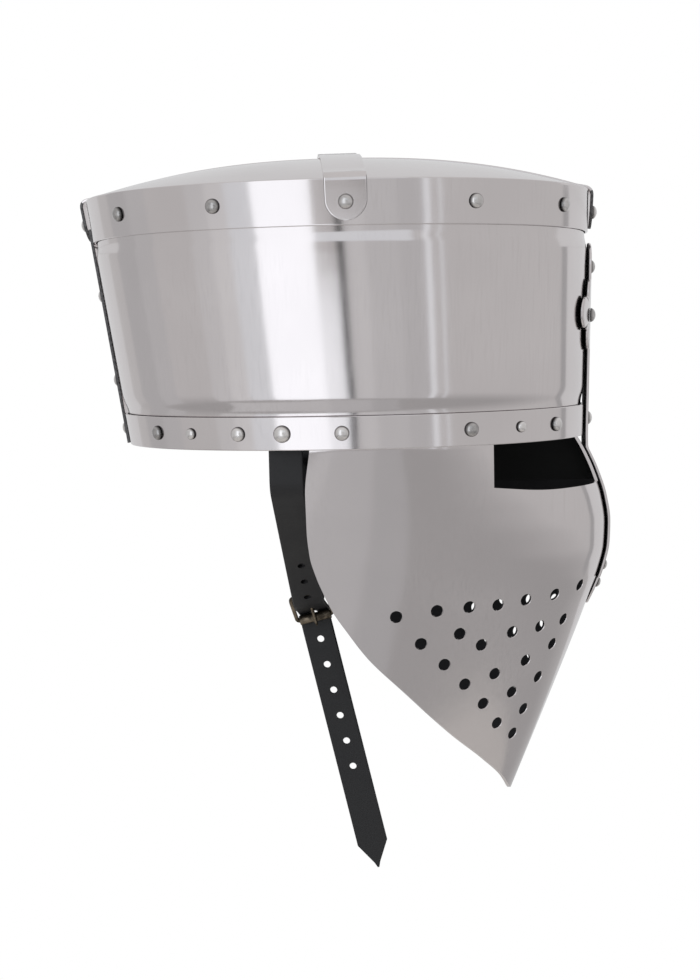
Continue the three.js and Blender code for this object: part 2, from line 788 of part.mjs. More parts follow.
// Along a route, the places at given distances, with the strap's direction there.
function walk(route, distances) {
  const lengths = route.map((point, i) => (i ? point.distanceTo(route[i - 1]) : 0));
  const reached = lengths.map((_, i) => lengths.slice(0, i + 1).reduce((a, b) => a + b));
  return distances.map((distance) => {
    const i = Math.max(1, reached.findIndex((length) => length >= distance));
    const share = (distance - reached[i - 1]) / lengths[i];
    return {
      point: route[i - 1].clone().lerp(route[i], share),
      along: route[i].clone().sub(route[i - 1]).normalize(),
    };
  });
}

// How far along a route its point nearest to a place is.
function distanceTo(route, place) {
  let [best, at, reached] = [Infinity, 0, 0];
  for (let i = 1; i < route.length; i++) {
    const line = new THREE.Line3(route[i - 1], route[i]);
    const share = line.closestPointToPointParameter(place, true);
    const gap = line.at(share, vector(0, 0, 0)).distanceTo(place);
    if (gap < best) {
      [best, at] = [gap, reached + share * line.distance()];
    }
    reached += line.distance();
  }
  return at;
}

function punched(route, distances) {
  return walk(route, distances).map(({ point, along }) => {
    const wide = vector(0, 1, 0).addScaledVector(along, -along.y).normalize();
    return pin(STRAP_HOLE_DIAMETER, 4 * LEATHER, point, wide.cross(along).normalize(), HOLE_FACETS);
  });
}

// The prong runs from the hinge bar to the roller's outer face.
function prongLine() {
  const rest = ROLLER_DIAMETER / 2 + CLEARANCE + PRONG_DIAMETER / 2;
  const from = inBuckle(0, 0);
  const over = inBuckle(BUCKLE_LENGTH, rest);
  const along = over.clone().sub(from).normalize();
  return { from, along, length: from.distanceTo(over) + PRONG_PAST_ROLLER };
}

function prongPin(clearance) {
  const { from, along, length } = prongLine();
  const middle = from.clone().addScaledVector(along, length / 2);
  return pin(PRONG_DIAMETER + 2 * clearance, length, middle, along, HOLE_FACETS);
}

function chinStrapRight() {
  const route = rounded(rightRoute(), CHIN_BEND_RADIUS);
  const tip = route.at(-1);
  const shoulder = tip.clone().addScaledVector(tailDirection(), -TAIL_POINT);
  const points = stepped([...route.slice(0, -1), shoulder, tip], LONGEST_STEP);
  const halfWidths = points.map((point) => {
    const share = THREE.MathUtils.clamp(point.distanceTo(tip) / TAIL_POINT, 1 / 12, 1);
    return (CHIN_STRAP_WIDTH / 2) * share;
  });
  const body = strap(points, halfWidths, LEATHER, acrossChin);
  const { from, along } = prongLine();
  const prongHole = distanceTo(points, from.clone().addScaledVector(along, PRONG_HOLE_AT));
  const counts = Array.from({ length: HOLES_ABOVE + HOLES_BELOW + 1 }, (_, i) => i - HOLES_ABOVE);
  const distances = counts.filter((count) => count !== 0).map((count) => prongHole + count * HOLE_PITCH);
  return cut(body, [...punched(points, distances), prongPin(SLOT_CLEARANCE)]);
}

// Down the far side, round the hinge bar and back on itself.
function leftRoute() {
  const [top, bend] = strapTop(1);
  const { hinge, wide } = buckleFrame();
  const back = bend.clone().sub(hinge);
  back.addScaledVector(wide, -back.dot(wide)).normalize();
  const up = wide.clone().cross(back);
  const above = up.z > 0 ? up : up.negate();
  const beside = (distance, rise) => {
    return hinge.clone().addScaledVector(back, distance).addScaledVector(above, rise);
  };
  const arc = Array.from({ length: 7 }, (_, i) => {
    const angle = Math.PI / 2 + (Math.PI * i) / 6;
    return beside(FOLD_RADIUS * Math.cos(angle), FOLD_RADIUS * Math.sin(angle));
  });
  const closed = FOLD_RADIUS - (LEATHER + CLEARANCE);
  return [
    ...rounded([top, bend, beside(FOLD_LENGTH, FOLD_RADIUS)], CHIN_BEND_RADIUS),
    ...arc,
    beside(FOLD_LENGTH / 2, closed),
    beside(FOLD_LENGTH, closed),
  ];
}

function chinStrapLeft() {
  const route = stepped(leftRoute(), LONGEST_STEP);
  const body = strap(route, route.map(() => CHIN_STRAP_WIDTH / 2), LEATHER, acrossChin);
  const slotLength = PRONG_RING_DIAMETER + 4 * LEATHER;
  const slot = new THREE.BoxGeometry(PRONG_RING_WIDTH + 2 * SLOT_CLEARANCE, slotLength, slotLength);
  const { along, wide, out, hinge } = buckleFrame();
  const rivet = foldRivetAt();
  const rivetHole = pin(STRAP_HOLE_DIAMETER, 4 * LEATHER, rivet.point, rivet.along, HOLE_FACETS);
  return cut(body, [placed(slot, wide, along, out, hinge), rivetHole]);
}

// The rivet that closes the fold goes through the middle of its flat stretch.
function foldRivetAt() {
  const route = leftRoute();
  const [inner, outer] = route.slice(-2);
  const flat = outer.clone().sub(inner).normalize();
  const through = buckleFrame().wide.cross(flat);
  const across = through.z > 0 ? through : through.negate();
  const half = (LEATHER + CLEARANCE) / 2;
  const point = inner.clone().lerp(outer, 0.5).addScaledVector(across, half);
  return { point, along: across };
}

function foldRivet() {
  const { point, along } = foldRivetAt();
  const headHeight = LEATHER / 2;
  const shank = STRAP_HOLE_DIAMETER - 2 * SLOT_CLEARANCE;
  const stack = 2 * LEATHER + 3 * CLEARANCE;
  const heads = [1, -1].map((sign) => {
    const middle = point.clone().addScaledVector(along, (sign * (stack + headHeight)) / 2);
    return pin(SMALL_RIVET_DIAMETER, headHeight, middle, along, RIVET_FACETS);
  });
  return join([pin(shank, stack + headHeight, point, along, RIVET_FACETS), ...heads]);
}

// Buckle

function frameRing() {
  const inner = CHIN_STRAP_WIDTH / 2 + BUCKLE_SIDE_GAP;
  const half = BUCKLE_BAR / 2;
  const outline = (start, end, side) => [[-side, start], [side, start], [side, end], [-side, end]];
  const toPoints = (corners) => corners.map(([x, y]) => new THREE.Vector2(x, y));
  const shape = new THREE.Shape(toPoints(outline(-half, BUCKLE_LENGTH + half, inner + BUCKLE_BAR)));
  shape.holes.push(new THREE.Path(toPoints(outline(half, BUCKLE_LENGTH - half, inner))));
  const ring = new THREE.ExtrudeGeometry(shape, { depth: BUCKLE_BAR, bevelEnabled: false });
  const { along, wide, out } = buckleFrame();
  return placed(ring, wide, along, out, inBuckle(0, -half));
}

function sleeve(outer, bore, length, at, along) {
  const hole = pin(bore, 2 * length, at, along, SLEEVE_FACETS);
  return cut(pin(outer, length, at, along, SLEEVE_FACETS), [hole]);
}

function roller() {
  const bore = ROLLER_DIAMETER - 2 * ROLLER_WALL;
  const length = CHIN_STRAP_WIDTH + 2 * BUCKLE_SIDE_GAP - 2 * CLEARANCE;
  return sleeve(ROLLER_DIAMETER, bore, length, inBuckle(BUCKLE_LENGTH, 0), buckleFrame().wide);
}

function prong() {
  const bore = ROLLER_DIAMETER - 2 * ROLLER_WALL;
  const { hinge, wide } = buckleFrame();
  const ring = pin(PRONG_RING_DIAMETER, PRONG_RING_WIDTH, hinge, wide, SLEEVE_FACETS);
  const bar = pin(bore, 2 * PRONG_RING_WIDTH, hinge, wide, SLEEVE_FACETS);
  return cut(join([ring, prongPin(0)]), [bar]);
}

// Rivets

function rivetHead(diameter) {
  const radius = diameter / 2;
  const height = diameter * RIVET_PROPORTION;
  const dome = [0, 0.5].map((share) => {
    const angle = (share * Math.PI) / 2;
    return new THREE.Vector2(radius * Math.cos(angle), height * Math.sin(angle));
  });
  const profile = [new THREE.Vector2(0, 0), ...dome, new THREE.Vector2(0, height)];
  return meshOfLathe(new THREE.LatheGeometry(profile, RIVET_FACETS));
}

function meshOfLathe(lathe) {
  lathe.deleteAttribute("normal");
  lathe.deleteAttribute("uv");
  return withoutSlivers(mergeVertices(lathe, 1e-4));
}

function addRivet(name, diameter, foot, out) {
  const head = rivetHead(diameter);
  head.applyQuaternion(new THREE.Quaternion().setFromUnitVectors(vector(0, 1, 0), out));
  const at = foot.clone().addScaledVector(out, CLEARANCE);
  head.translate(at.x, at.y, at.z);
  add(name, head, STEEL);
}

function skullNormal(turn, height) {
  const small = 0.01;
  const round = skullPoint(turn + small, height).sub(skullPoint(turn - small, height));
  const up = skullPoint(turn, height + 1).sub(skullPoint(turn, height - 1));
  return round.cross(up).normalize();
}

function turnOf(forward, side) {
  const turn = Math.sign(forward) * Math.asin(Math.abs(forward) ** (SECTION_POWER / 2));
  return side < 0 ? turn : Math.PI - turn;
}

function addSideRivets(prefix, rows, height) {
  for (const { name, side } of SIDES) {
    rows.forEach(({ forward, diameter }, i) => {
      const turn = turnOf(forward, side);
      addRivet(`${prefix}_${name}_${i + 1}`, diameter, skullPoint(turn, height), skullNormal(turn, height));
    });
  }
}

// A rivet through a strap, at a distance from the first point of its route.
function addStrapRivet(name, route, distance, across) {
  const [{ point, along }] = walk(route, [distance]);
  const normal = across.clone().cross(along).normalize();
  const out = normal.dot(point) > 0 ? normal : normal.negate();
  addRivet(name, RIVET_DIAMETER, point.clone().addScaledVector(out, WALL / 2), out);
}

function addStrapRivets() {
  const fromEnd = STRAP_END_DROP - FLANGE_HEIGHT / 2;
  const [ahead, aside] = [vector(1, 0, 0), vector(0, 1, 0)];
  addStrapRivet("crown_rivet_rear", longRoute(), fromEnd, ahead);
  addStrapRivet("crown_rivet_front", longRoute().reverse(), fromEnd, ahead);
  addStrapRivet("crown_rivet_right", crossRoute(), fromEnd, aside);
  addStrapRivet("crown_rivet_left", crossRoute().reverse(), fromEnd, aside);
  REAR_RIVETS.forEach((up, i) => {
    addStrapRivet(`rear_rivet_${i + 1}`, rearRoute(), up * REAR_STRIP_TOP, ahead);
  });
}

function addCrossRivets() {
  const sheet = CLEARANCE + WALL;
  const rows = [
    { x: 0, height: CROSS_TOP - CROSS_WIDTH / 2, diameter: RIVET_DIAMETER },
    { x: -CROSS_WIDTH * 0.8, height: ARM_CENTRE, diameter: RIVET_DIAMETER },
    { x: CROSS_WIDTH * 0.8, height: ARM_CENTRE, diameter: RIVET_DIAMETER },
    { x: 0, height: BAND_HEIGHT / 2, diameter: RIVET_DIAMETER },
    { x: 0, height: -CROSS_SHOULDER + SMALL_RIVET_DIAMETER, diameter: SMALL_RIVET_DIAMETER },
    { x: 0, height: -CROSS_SHOULDER - TONGUE_LENGTH / 4, diameter: SMALL_RIVET_DIAMETER },
  ];
  rows.forEach(({ x, height, diameter }, i) => {
    const lift = CROSS_LIFT * Math.min(1, Math.abs(x) / (CROSS_WIDTH / 2));
    const foot = vector(x, frontAt(x, height) - sheet - lift, height);
    addRivet(`cross_rivet_${i + 1}`, diameter, foot, crossNormal(x, height));
  });
}

function crossNormal(x, height) {
  const across = vector(2, frontAt(x + 1, height) - frontAt(x - 1, height), 0);
  const up = vector(0, frontAt(x, height + 1) - frontAt(x, height - 1), 2);
  return across.cross(up).normalize();
}

add("top_cap", topCap(), STEEL);
add("skull_drum", skullDrum(), STEEL);
add("brow_band", browBand(), STEEL);
add("face_plate", facePlate(), STEEL);
add("front_cross", frontCross(), STEEL);
add("rear_strip", rearStrip(), STEEL);
add("crown_strap_long", crownStrapLong(), STEEL);
add("crown_strap_cross", crownStrapCross(), STEEL);
add("chin_strap_right", chinStrapRight(), DARK_LEATHER);
add("chin_strap_left", chinStrapLeft(), DARK_LEATHER);
add("strap_rivet", foldRivet(), STEEL);
add("buckle_frame", frameRing(), AGED_BRASS);
add("buckle_roller", roller(), AGED_BRASS);
add("buckle_prong", prong(), AGED_BRASS);
addSideRivets("flange_rivet", FLANGE_RIVETS, FLANGE_FOOT + FLANGE_HEIGHT / 2);
addSideRivets("brow_rivet", BROW_RIVETS, BAND_HEIGHT / 2);
addStrapRivets();
addCrossRivets();

export default group;
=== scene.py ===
"""A flat-topped helmet of riveted sheet steel with a pierced face plate and a leather chin strap.

Metres, with +Z up, -Y the wearer's front and -X the wearer's right. The origin is the middle of the brow
band's lower edge. A turn is an angle round the helmet: 0 is the wearer's right, a quarter turn the front.
"""

import math
from collections import namedtuple

import bmesh
import bpy
from mathutils import Matrix, Vector
from mathutils.geometry import delaunay_2d_cdt


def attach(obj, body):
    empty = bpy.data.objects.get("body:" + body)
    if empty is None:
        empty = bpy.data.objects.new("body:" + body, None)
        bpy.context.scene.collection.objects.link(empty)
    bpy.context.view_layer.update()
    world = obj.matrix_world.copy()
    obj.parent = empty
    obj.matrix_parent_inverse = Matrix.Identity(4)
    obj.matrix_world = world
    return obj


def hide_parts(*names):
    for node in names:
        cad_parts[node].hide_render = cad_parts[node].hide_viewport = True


bl_info = {
    "name": "Face-plate helmet",
    "version": (1, 0, 0),
    "blender": (4, 5, 0),
    "location": "3D View > Sidebar > Helmet",
    "description": "Builds a riveted face-plate helmet with its chin strap and its studio",
    "category": "Object",
}

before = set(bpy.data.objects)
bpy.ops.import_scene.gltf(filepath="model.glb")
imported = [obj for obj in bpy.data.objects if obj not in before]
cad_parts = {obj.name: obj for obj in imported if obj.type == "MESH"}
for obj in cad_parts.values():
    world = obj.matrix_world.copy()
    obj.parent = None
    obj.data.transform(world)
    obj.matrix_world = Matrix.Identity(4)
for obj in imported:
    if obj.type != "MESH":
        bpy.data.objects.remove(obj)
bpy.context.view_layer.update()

MM = 0.001
FRONT = math.pi / 2
RIGHT, LEFT = -1, 1

# The steps along the cross's outline and between the points inside it
OUTLINE_STEP = 0.5 * MM
GRID_STEP = 2 * MM
# Outlines that are closer than this touch
TOUCHING = 1e-6
# A strap's face lies flat where the cosine of its angle to the sheet's outward direction is over this
FLAT_SIDE = 0.75
# How many times wider than its hole the outer end of a punch is, for the worn edge
PUNCH_FLARE = 2.5

# The face plate's middle line, by how far down the plate it is:
# how much of the nose's bulge and of the chin's setback it has there
FACE_PROFILE = [
    {"down": 0, "bulge": 0, "back": 0},
    {"down": 0.04, "bulge": 0.28, "back": 0},
    {"down": 0.1, "bulge": 0.61, "back": 0},
    {"down": 0.17, "bulge": 0.88, "back": 0},
    {"down": 0.24, "bulge": 1, "back": 0},
    {"down": 0.3, "bulge": 0.97, "back": 0},
    {"down": 0.37, "bulge": 0.77, "back": 0},
    {"down": 0.45, "bulge": 0.38, "back": 0},
    {"down": 0.53, "bulge": 0, "back": 0},
    {"down": 0.74, "bulge": 0, "back": 0.44},
    {"down": 1, "bulge": 0, "back": 1},
]

# The face plate's rear and lower edge: how far back it is between the chin's tip and the rear edge
FACE_EDGE = [
    {"down": 0, "back": 0.97},
    {"down": 0.12, "back": 1},
    {"down": 0.21, "back": 1},
    {"down": 0.28, "back": 0.99},
    {"down": 0.33, "back": 0.965},
    {"down": 0.375, "back": 0.933},
    {"down": 0.43, "back": 0.886},
    {"down": 0.485, "back": 0.82},
    {"down": 0.56, "back": 0.72},
    {"down": 0.655, "back": 0.55},
    {"down": 0.79, "back": 0.305},
    {"down": 0.87, "back": 0.15},
    {"down": 0.936, "back": 0.05},
    {"down": 1, "back": 0},
]

# Breath holes of one side: the turn in degrees, and how far down the plate
BREATH_HOLES = [
    {"turn": 18, "down": 0.446},
    {"turn": 26, "down": 0.435},
    {"turn": 33, "down": 0.43},
    {"turn": 40, "down": 0.43},
    {"turn": 47.5, "down": 0.423},
    {"turn": 57, "down": 0.418},
    {"turn": 68, "down": 0.404},
    {"turn": 25, "down": 0.523},
    {"turn": 33, "down": 0.502},
    {"turn": 39.5, "down": 0.538},
    {"turn": 47, "down": 0.51},
    {"turn": 56, "down": 0.504},
    {"turn": 66, "down": 0.496},
    {"turn": 32, "down": 0.585},
    {"turn": 46.5, "down": 0.624},
    {"turn": 55.5, "down": 0.597},
    {"turn": 65, "down": 0.563},
    {"turn": 39, "down": 0.645},
    {"turn": 55, "down": 0.684},
    {"turn": 64.5, "down": 0.654},
    {"turn": 46.5, "down": 0.706},
    {"turn": 63.5, "down": 0.742},
    {"turn": 54, "down": 0.769},
    {"turn": 63, "down": 0.81},
]

# The three lobes at the end of one arm of the cross, as shares of the arm's reach and height
ARM_LOBES = [
    {"out": 0.41, "up": 0.3, "radius": 0.22},
    {"out": 0.78, "up": 0.03, "radius": 0.235},
    {"out": 0.43, "up": -0.27, "radius": 0.23},
]
ARM_BAR = {"out": 0.62, "up": 0.3}

# Rivets of one side, by how far forward of the section's middle they are, as a share of half its length
FLANGE_RIVETS = [
    {"forward": -0.797, "kind": "diameter"},
    {"forward": -0.408, "kind": "diameter"},
    {"forward": 0.539, "kind": "diameter"},
    {"forward": 0.875, "kind": "diameter"},
]
BROW_RIVETS = [
    {"forward": -0.79, "kind": "diameter"},
    {"forward": -0.633, "kind": "small_diameter"},
    {"forward": -0.43, "kind": "diameter"},
    {"forward": -0.25, "kind": "large_diameter"},
    {"forward": -0.012, "kind": "diameter"},
    {"forward": 0.498, "kind": "diameter"},
    {"forward": 0.7, "kind": "small_diameter"},
    {"forward": 0.85, "kind": "diameter"},
]
REAR_RIVETS = [0.07, 0.3, 0.7]

# The studio's upright cards, by turn from the wearer's right towards the rear and by angle of height,
# all in degrees, and how brightly each one shines
STUDIO_CARDS = [
    {"name": "far_card", "start": 115, "end": 180, "low": 6, "high": 48, "light": 0.7},
    {"name": "far_front_card", "start": 180, "end": 245, "low": 6, "high": 48, "light": 0.7},
    {"name": "rear_card", "start": 128, "end": 178, "low": -30, "high": 6, "light": 0.7},
    {"name": "rear_shade", "start": 98, "end": 116, "low": -24, "high": 30, "light": 0.51},
    {"name": "rear_grey", "start": 84, "end": 98, "low": -24, "high": 30, "light": 0.55},
    {"name": "soft_box_haze", "start": 50, "end": 60, "low": -24, "high": 36, "light": 0.63},
    {"name": "soft_box_rim", "start": 41, "end": 50, "low": -24, "high": 36, "light": 0.7},
    {"name": "soft_box_edge", "start": 30, "end": 41, "low": -24, "high": 36, "light": 0.79},
    {"name": "soft_box", "start": 8, "end": 30, "low": -24, "high": 36, "light": 1.35},
    {"name": "soft_box_dim", "start": 1, "end": 8, "low": -24, "high": -6.8, "light": 1.12},
    {"name": "soft_box_top", "start": -28, "end": 8, "low": 12, "high": 36, "light": 0.8},
    {"name": "black_flag", "start": -1.15, "end": 1.15, "low": -24, "high": 14, "light": 0.01},
    {"name": "pale_card", "start": -9, "end": -1.15, "low": -24, "high": 14, "light": 0.66},
    {"name": "grey_card", "start": -22, "end": -9, "low": -24, "high": 14, "light": 0.59},
    {"name": "dark_grey_card", "start": -32.7, "end": -22, "low": -24, "high": 14, "light": 0.55},
    {"name": "wide_strip", "start": -35.3, "end": -32.7, "low": -24, "high": 30, "light": 0.95},
    {"name": "narrow_strip", "start": -40.4, "end": -39.2, "low": -24, "high": 30, "light": 0.88},
    {"name": "front_shade", "start": -123.5, "end": -117, "low": -24, "high": 30, "light": 0.42},
    {"name": "front_card", "start": -178, "end": -123.5, "low": -21, "high": 6, "light": 0.7},
    {"name": "low_card", "start": 8, "end": 56, "low": -48, "high": -27, "light": 0.59},
    {"name": "low_grey_card", "start": -8, "end": 8, "low": -48, "high": -27, "light": 0.54},
    {"name": "low_pale_card", "start": -20, "end": -8, "low": -48, "high": -27, "light": 0.48},
]

# The cards that shine more than BRIGHT are a little cooler than the grey ones
COOL_LIGHT = (0.96, 1.0, 1.04, 1)
GREY_LIGHT = (0.99, 1.0, 1.01, 1)
BRIGHT = 0.75
# The black of the card between the eye slots, which stands for shade inside the helmet
CARD_BLACK = (0.014, 0.014, 0.014, 1)
FLOOR_COLOUR = (0.82, 0.8, 0.77, 1)

# The photograph's camera: its turns in degrees, its lens and film width in millimetres, and its place
CAMERA_YAW, CAMERA_PITCH, CAMERA_ROLL = 3, 4.9, 1.29
CAMERA_LENS, FILM_WIDTH = 65.08, 36.0
CAMERA_PLACE = (-0.9452, -0.0452, 0.0529)

# The studio's grey by how high one looks, from straight down (-1) over level (0) to straight up (1)
STUDIO_GREYS = [
    {"rise": -0.75, "grey": 0.45},
    {"rise": -0.6, "grey": 0.41},
    {"rise": -0.5, "grey": 0.41},
    {"rise": -0.4, "grey": 0.48},
    {"rise": -0.25, "grey": 0.58},
    {"rise": 0.45, "grey": 0.59},
    {"rise": 0.7, "grey": 0.68},
]

# The fold's rivet head, by share of its height and of its radius, and the prong, by share of its length
# and of its radius
STUD_CURVE = [(0, 0.3), (0.2, 0.7), (0.6, 0.95), (0.95, 1), (1, 1)]
PRONG_CURVE = [(0, 1), (0.75, 1), (0.92, 0.85), (0.98, 0.6), (1, 0.3)]

Section = namedtuple("Section", "half_length half_width middle")
Corner = namedtuple("Corner", "point radius inside")
Spot = namedtuple("Spot", "foot outward width")


# Settings


def length(name, description, millimetres):
    """A size in the sidebar, given in millimetres and kept in metres."""
    default = millimetres * MM
    return bpy.props.FloatProperty(
        name=name, description=description, default=default, unit="LENGTH", subtype="DISTANCE", precision=4
    )


def number(name, description, default):
    return bpy.props.FloatProperty(name=name, description=description, default=default)


def angle(name, description, degrees):
    return bpy.props.FloatProperty(
        name=name, description=description, default=math.radians(degrees), unit="ROTATION", subtype="ANGLE"
    )


def count(name, description, default):
    return bpy.props.IntProperty(name=name, description=description, default=default, min=1)


def colour(name, description, default):
    return bpy.props.FloatVectorProperty(
        name=name, description=description, default=default, subtype="COLOR", size=3, min=0.0, max=1.0
    )


class SkullSizes(bpy.types.PropertyGroup):
    """Sizes of the cap, the drum and the brow band."""

    wall: length("Sheet", "Thickness of the steel", 1.6)
    clearance: length("Clearance", "Gap between sheets that lie on each other", 0.3)
    edge_radius: length("Edge", "Rounding of the sheets' edges", 0.45)
    brow_length: length("Brow length", "Outside length of the brow band", 240)
    brow_width: length("Brow width", "Outside width of the brow band", 214)
    crown_length: length("Crown length", "Outside length of the flange at its top", 263.3)
    crown_width: length("Crown width", "Outside width of the flange at its top", 239.6)
    crown_setback: length("Crown setback", "How far back the crown's middle is from the brow's", 7.6)
    crown_height: length("Crown height", "Height of the flange's top above the brow", 126.8)
    section_power: number("Section power", "2 is an ellipse, and more is squarer", 2.1)
    dome_rise: length("Dome rise", "Height of the dome above the flange's top", 18)
    dome_power: number("Dome power", "How flat the dome's middle is", 2.35)
    corner_radius: length("Corner", "Radius between the dome and its flange", 1.5)
    flange_height: length("Flange", "Height of the turned-down flange", 21.7)
    band_height: length("Band", "Height of the brow band", 16.1)
    joggle_length: length("Joggle", "Length over which the drum steps in", 6)
    joggle_from_edge: length("Joggle to edge", "From the joggle to the sheet that laps it", 2)
    joggle_radius: length("Joggle radius", "Bend radius of the joggle", 3)
    wall_inset: length("Drum inset", "How far the drum lies behind the bands", 0.4)
    cap_lap: length("Lap", "How far the drum goes up inside the flange", 15)
    drum_foot: length("Drum foot", "Where the drum ends above the brow band's edge", 0.6)
    facets: count("Facets", "Steps round the helmet", 192)


class FaceSizes(bpy.types.PropertyGroup):
    """Sizes of the face plate."""

    drop: length("Drop", "From the brow down to the chin's tip", 190)
    lap: length("Lap", "How far the plate goes up behind the brow band", 13)
    narrowing: length("Narrowing", "How much narrower each side is at the chin", 34.7)
    cheek_setback: length("Cheek setback", "How far forward the plate's middle moves", 62)
    nose_bulge: length("Nose bulge", "How far the nose stands out", 15.4)
    chin_setback: length("Chin setback", "How far back the chin's tip is", 37)
    rear_edge: length("Rear edge", "Where the plate's rear edge is behind the middle", 21)
    nasal_width: length("Nasal", "Width of the bar between the eye slots", 23)
    slot_rear_depth: length("Slot rear", "Depth of an eye slot at its rear", 21.5)
    slot_front_depth: length("Slot front", "Depth of an eye slot at its front", 24.6)
    slot_rear_edge: length("Slot start", "Where an eye slot begins", -70.4)
    slot_run: length("Slot run", "Over which length a slot gets its full depth", 25)
    hole_diameter: length("Breath hole", "Diameter of a breath hole", 6)
    hole_chamfer: length("Hole edge", "Depth of the worn edge round a breath hole", 0.4)
    columns: count("Columns", "Steps across the plate", 150)
    rows: count("Rows", "Steps down the plate", 110)


class StrapSizes(bpy.types.PropertyGroup):
    """Sizes of the steel straps and of the front cross."""

    width: length("Strap width", "Width of the crown straps", 20)
    end_drop: length("End drop", "How far the crown straps' ends reach down the flange", 19.5)
    corner_standoff: length("Standoff", "How far the crown straps clear the flange's corner", 1.2)
    cross_at: length("Side strap", "Where the strap from side to side lies", -3)
    bend_radius: length("Bend", "Radius of the crown straps' bends", 4)
    rear_width: length("Rear width", "Width of the rear strip", 20)
    rear_below_corner: length("Rear top", "How far below the flange's top the rear strip ends", 13.8)
    cross_width: length("Cross width", "Width of the front cross's bar", 25)
    cross_top: length("Cross top", "Height of the front cross's upper end", 100)
    cross_shoulder: length("Cross shoulder", "How far down the bar's lower end is", 76)
    cross_lift: length("Cross lift", "How far the bar's edges stand off the sheet", 0.6)
    tongue_length: length("Tongue", "Length of the point below the bar", 15)
    tongue_width: length("Tongue width", "Width of the point below the bar", 11)
    arm_reach: length("Arm reach", "How far the arms reach out from the middle", 39)
    arm_height: length("Arm height", "Height of the arms' ends", 36)
    arm_centre: length("Arm centre", "Height of the arms above the brow", 62)
    step: length("Step", "Longest step along the rear strip", 5)


class RivetSizes(bpy.types.PropertyGroup):
    """Sizes of the rivet heads."""

    diameter: length("Rivet", "Diameter of most heads", 7.2)
    small_diameter: length("Small rivet", "Diameter of the small heads", 5.6)
    large_diameter: length("Large rivet", "Diameter of the large heads", 8.4)
    proportion: number("Proportion", "Height of a head as a share of its diameter", 0.36)
    segments: count("Segments", "Steps round a head", 28)
    rings: count("Rings", "Steps up a head", 18)


class ChinStrapSizes(bpy.types.PropertyGroup):
    """Sizes of the leather chin strap."""

    leather: length("Leather", "Thickness of the leather", 2.2)
    edge_radius: length("Edge", "Rounding of the leather's edges", 0.7)
    width: length("Width", "Width of the strap", 16.4)
    top: length("Top", "Where the strap ends inside the drum", 12)
    bend: length("Bend", "How far below the brow the strap turns inwards", 19.5)
    bend_radius: length("Bend radius", "Radius of the strap's bends", 5)
    fold_length: length("Fold", "How far the fold comes back on itself", 22)
    hole_pitch: length("Hole pitch", "From one punched hole to the next", 14.3)
    hole_diameter: length("Hole", "Diameter of a punched hole", 3.8)
    hole_chamfer: length("Hole edge", "Depth of the worn edge round a punched hole", 0.2)
    holes_above: count("Holes above", "Holes between the drum and the prong", 3)
    holes_below: count("Holes below", "Holes below the prong", 7)
    tail_length: length("Tail", "Length of the hanging tail", 139)
    tail_point: length("Point", "Length of the tail's point", 13.8)
    slack: length("Slack", "How far the strap's corners stand out before they are rounded", 1.2)
    step: length("Step", "Longest step along the strap", 3)


class BuckleSizes(bpy.types.PropertyGroup):
    """Sizes of the buckle, and the place of its hinge bar."""

    hinge_x: length("Hinge X", "Place of the hinge bar", -19)
    hinge_y: length("Hinge Y", "Place of the hinge bar", 26.9)
    hinge_z: length("Hinge Z", "Place of the hinge bar", -82)
    slope: angle("Slope", "How steeply the frame goes down from its hinge bar", 55)
    lean: angle("Lean", "How far the frame and the tail lean to the front", 12.8)
    reach: length("Reach", "From the hinge bar to the roller", 16.5)
    bar: length("Bar", "Thickness of the frame's bars", 2)
    bar_rounding: length("Bar rounding", "Rounding of the frame's bars", 0.55)
    corner_radius: length("Corner", "Radius of the frame's corners", 2.2)
    side_gap: length("Side gap", "Between the strap and the frame", 0.6)
    roller_diameter: length("Roller", "Diameter of the roller", 5)
    roller_wall: length("Roller wall", "Wall of the roller", 0.75)
    prong_diameter: length("Prong", "Diameter of the prong", 1.8)
    ring_diameter: length("Prong ring", "Diameter of the prong's ring", 4.6)
    ring_width: length("Ring width", "Width of the prong's ring", 3.4)
    past_roller: length("Prong tip", "How far the prong reaches past the roller", 2.5)
    slot_clearance: length("Slot clearance", "Room round the prong in the leather", 0.4)
    prong_hole_at: length("Prong hole", "Where the prong goes through the strap", 4.5)


class Finishes(bpy.types.PropertyGroup):
    """Colours and finishes."""

    steel: colour("Steel", "Colour of the polished steel", (0.745, 0.7, 0.7))
    steel_roughness: number("Steel roughness", "How satin the steel is", 0.1)
    lining: colour("Inside", "Colour of the blackened inside", (0.014, 0.014, 0.016))
    rivet: colour("Rivets", "Colour of the rivet heads", (0.8, 0.77, 0.76))
    # Painted shadow: the colour of the edge faces that stand for the dark gap beside a sheet
    gap_shadow_colour: colour("Cut edges", "Colour of the sheets' cut edges", (0.09, 0.088, 0.09))
    leather: colour("Leather", "Colour of the leather", (0.0095, 0.0092, 0.0105))
    brass: colour("Brass", "Colour of the aged brass", (0.2, 0.165, 0.125))


class StageSettings(bpy.types.PropertyGroup):
    """The studio."""

    floor_height: length("Floor", "Height of the floor", -760)
    floor_radius: length("Floor radius", "Radius of the floor", 900)
    card_distance: length("Cards", "How far off the studio's cards stand", 2000)
    surround: number("Surround", "Brightness of the studio's grey", 1.0)


# Small helpers


def powered(value, power):
    return math.copysign(abs(value) ** (2 / power), value)


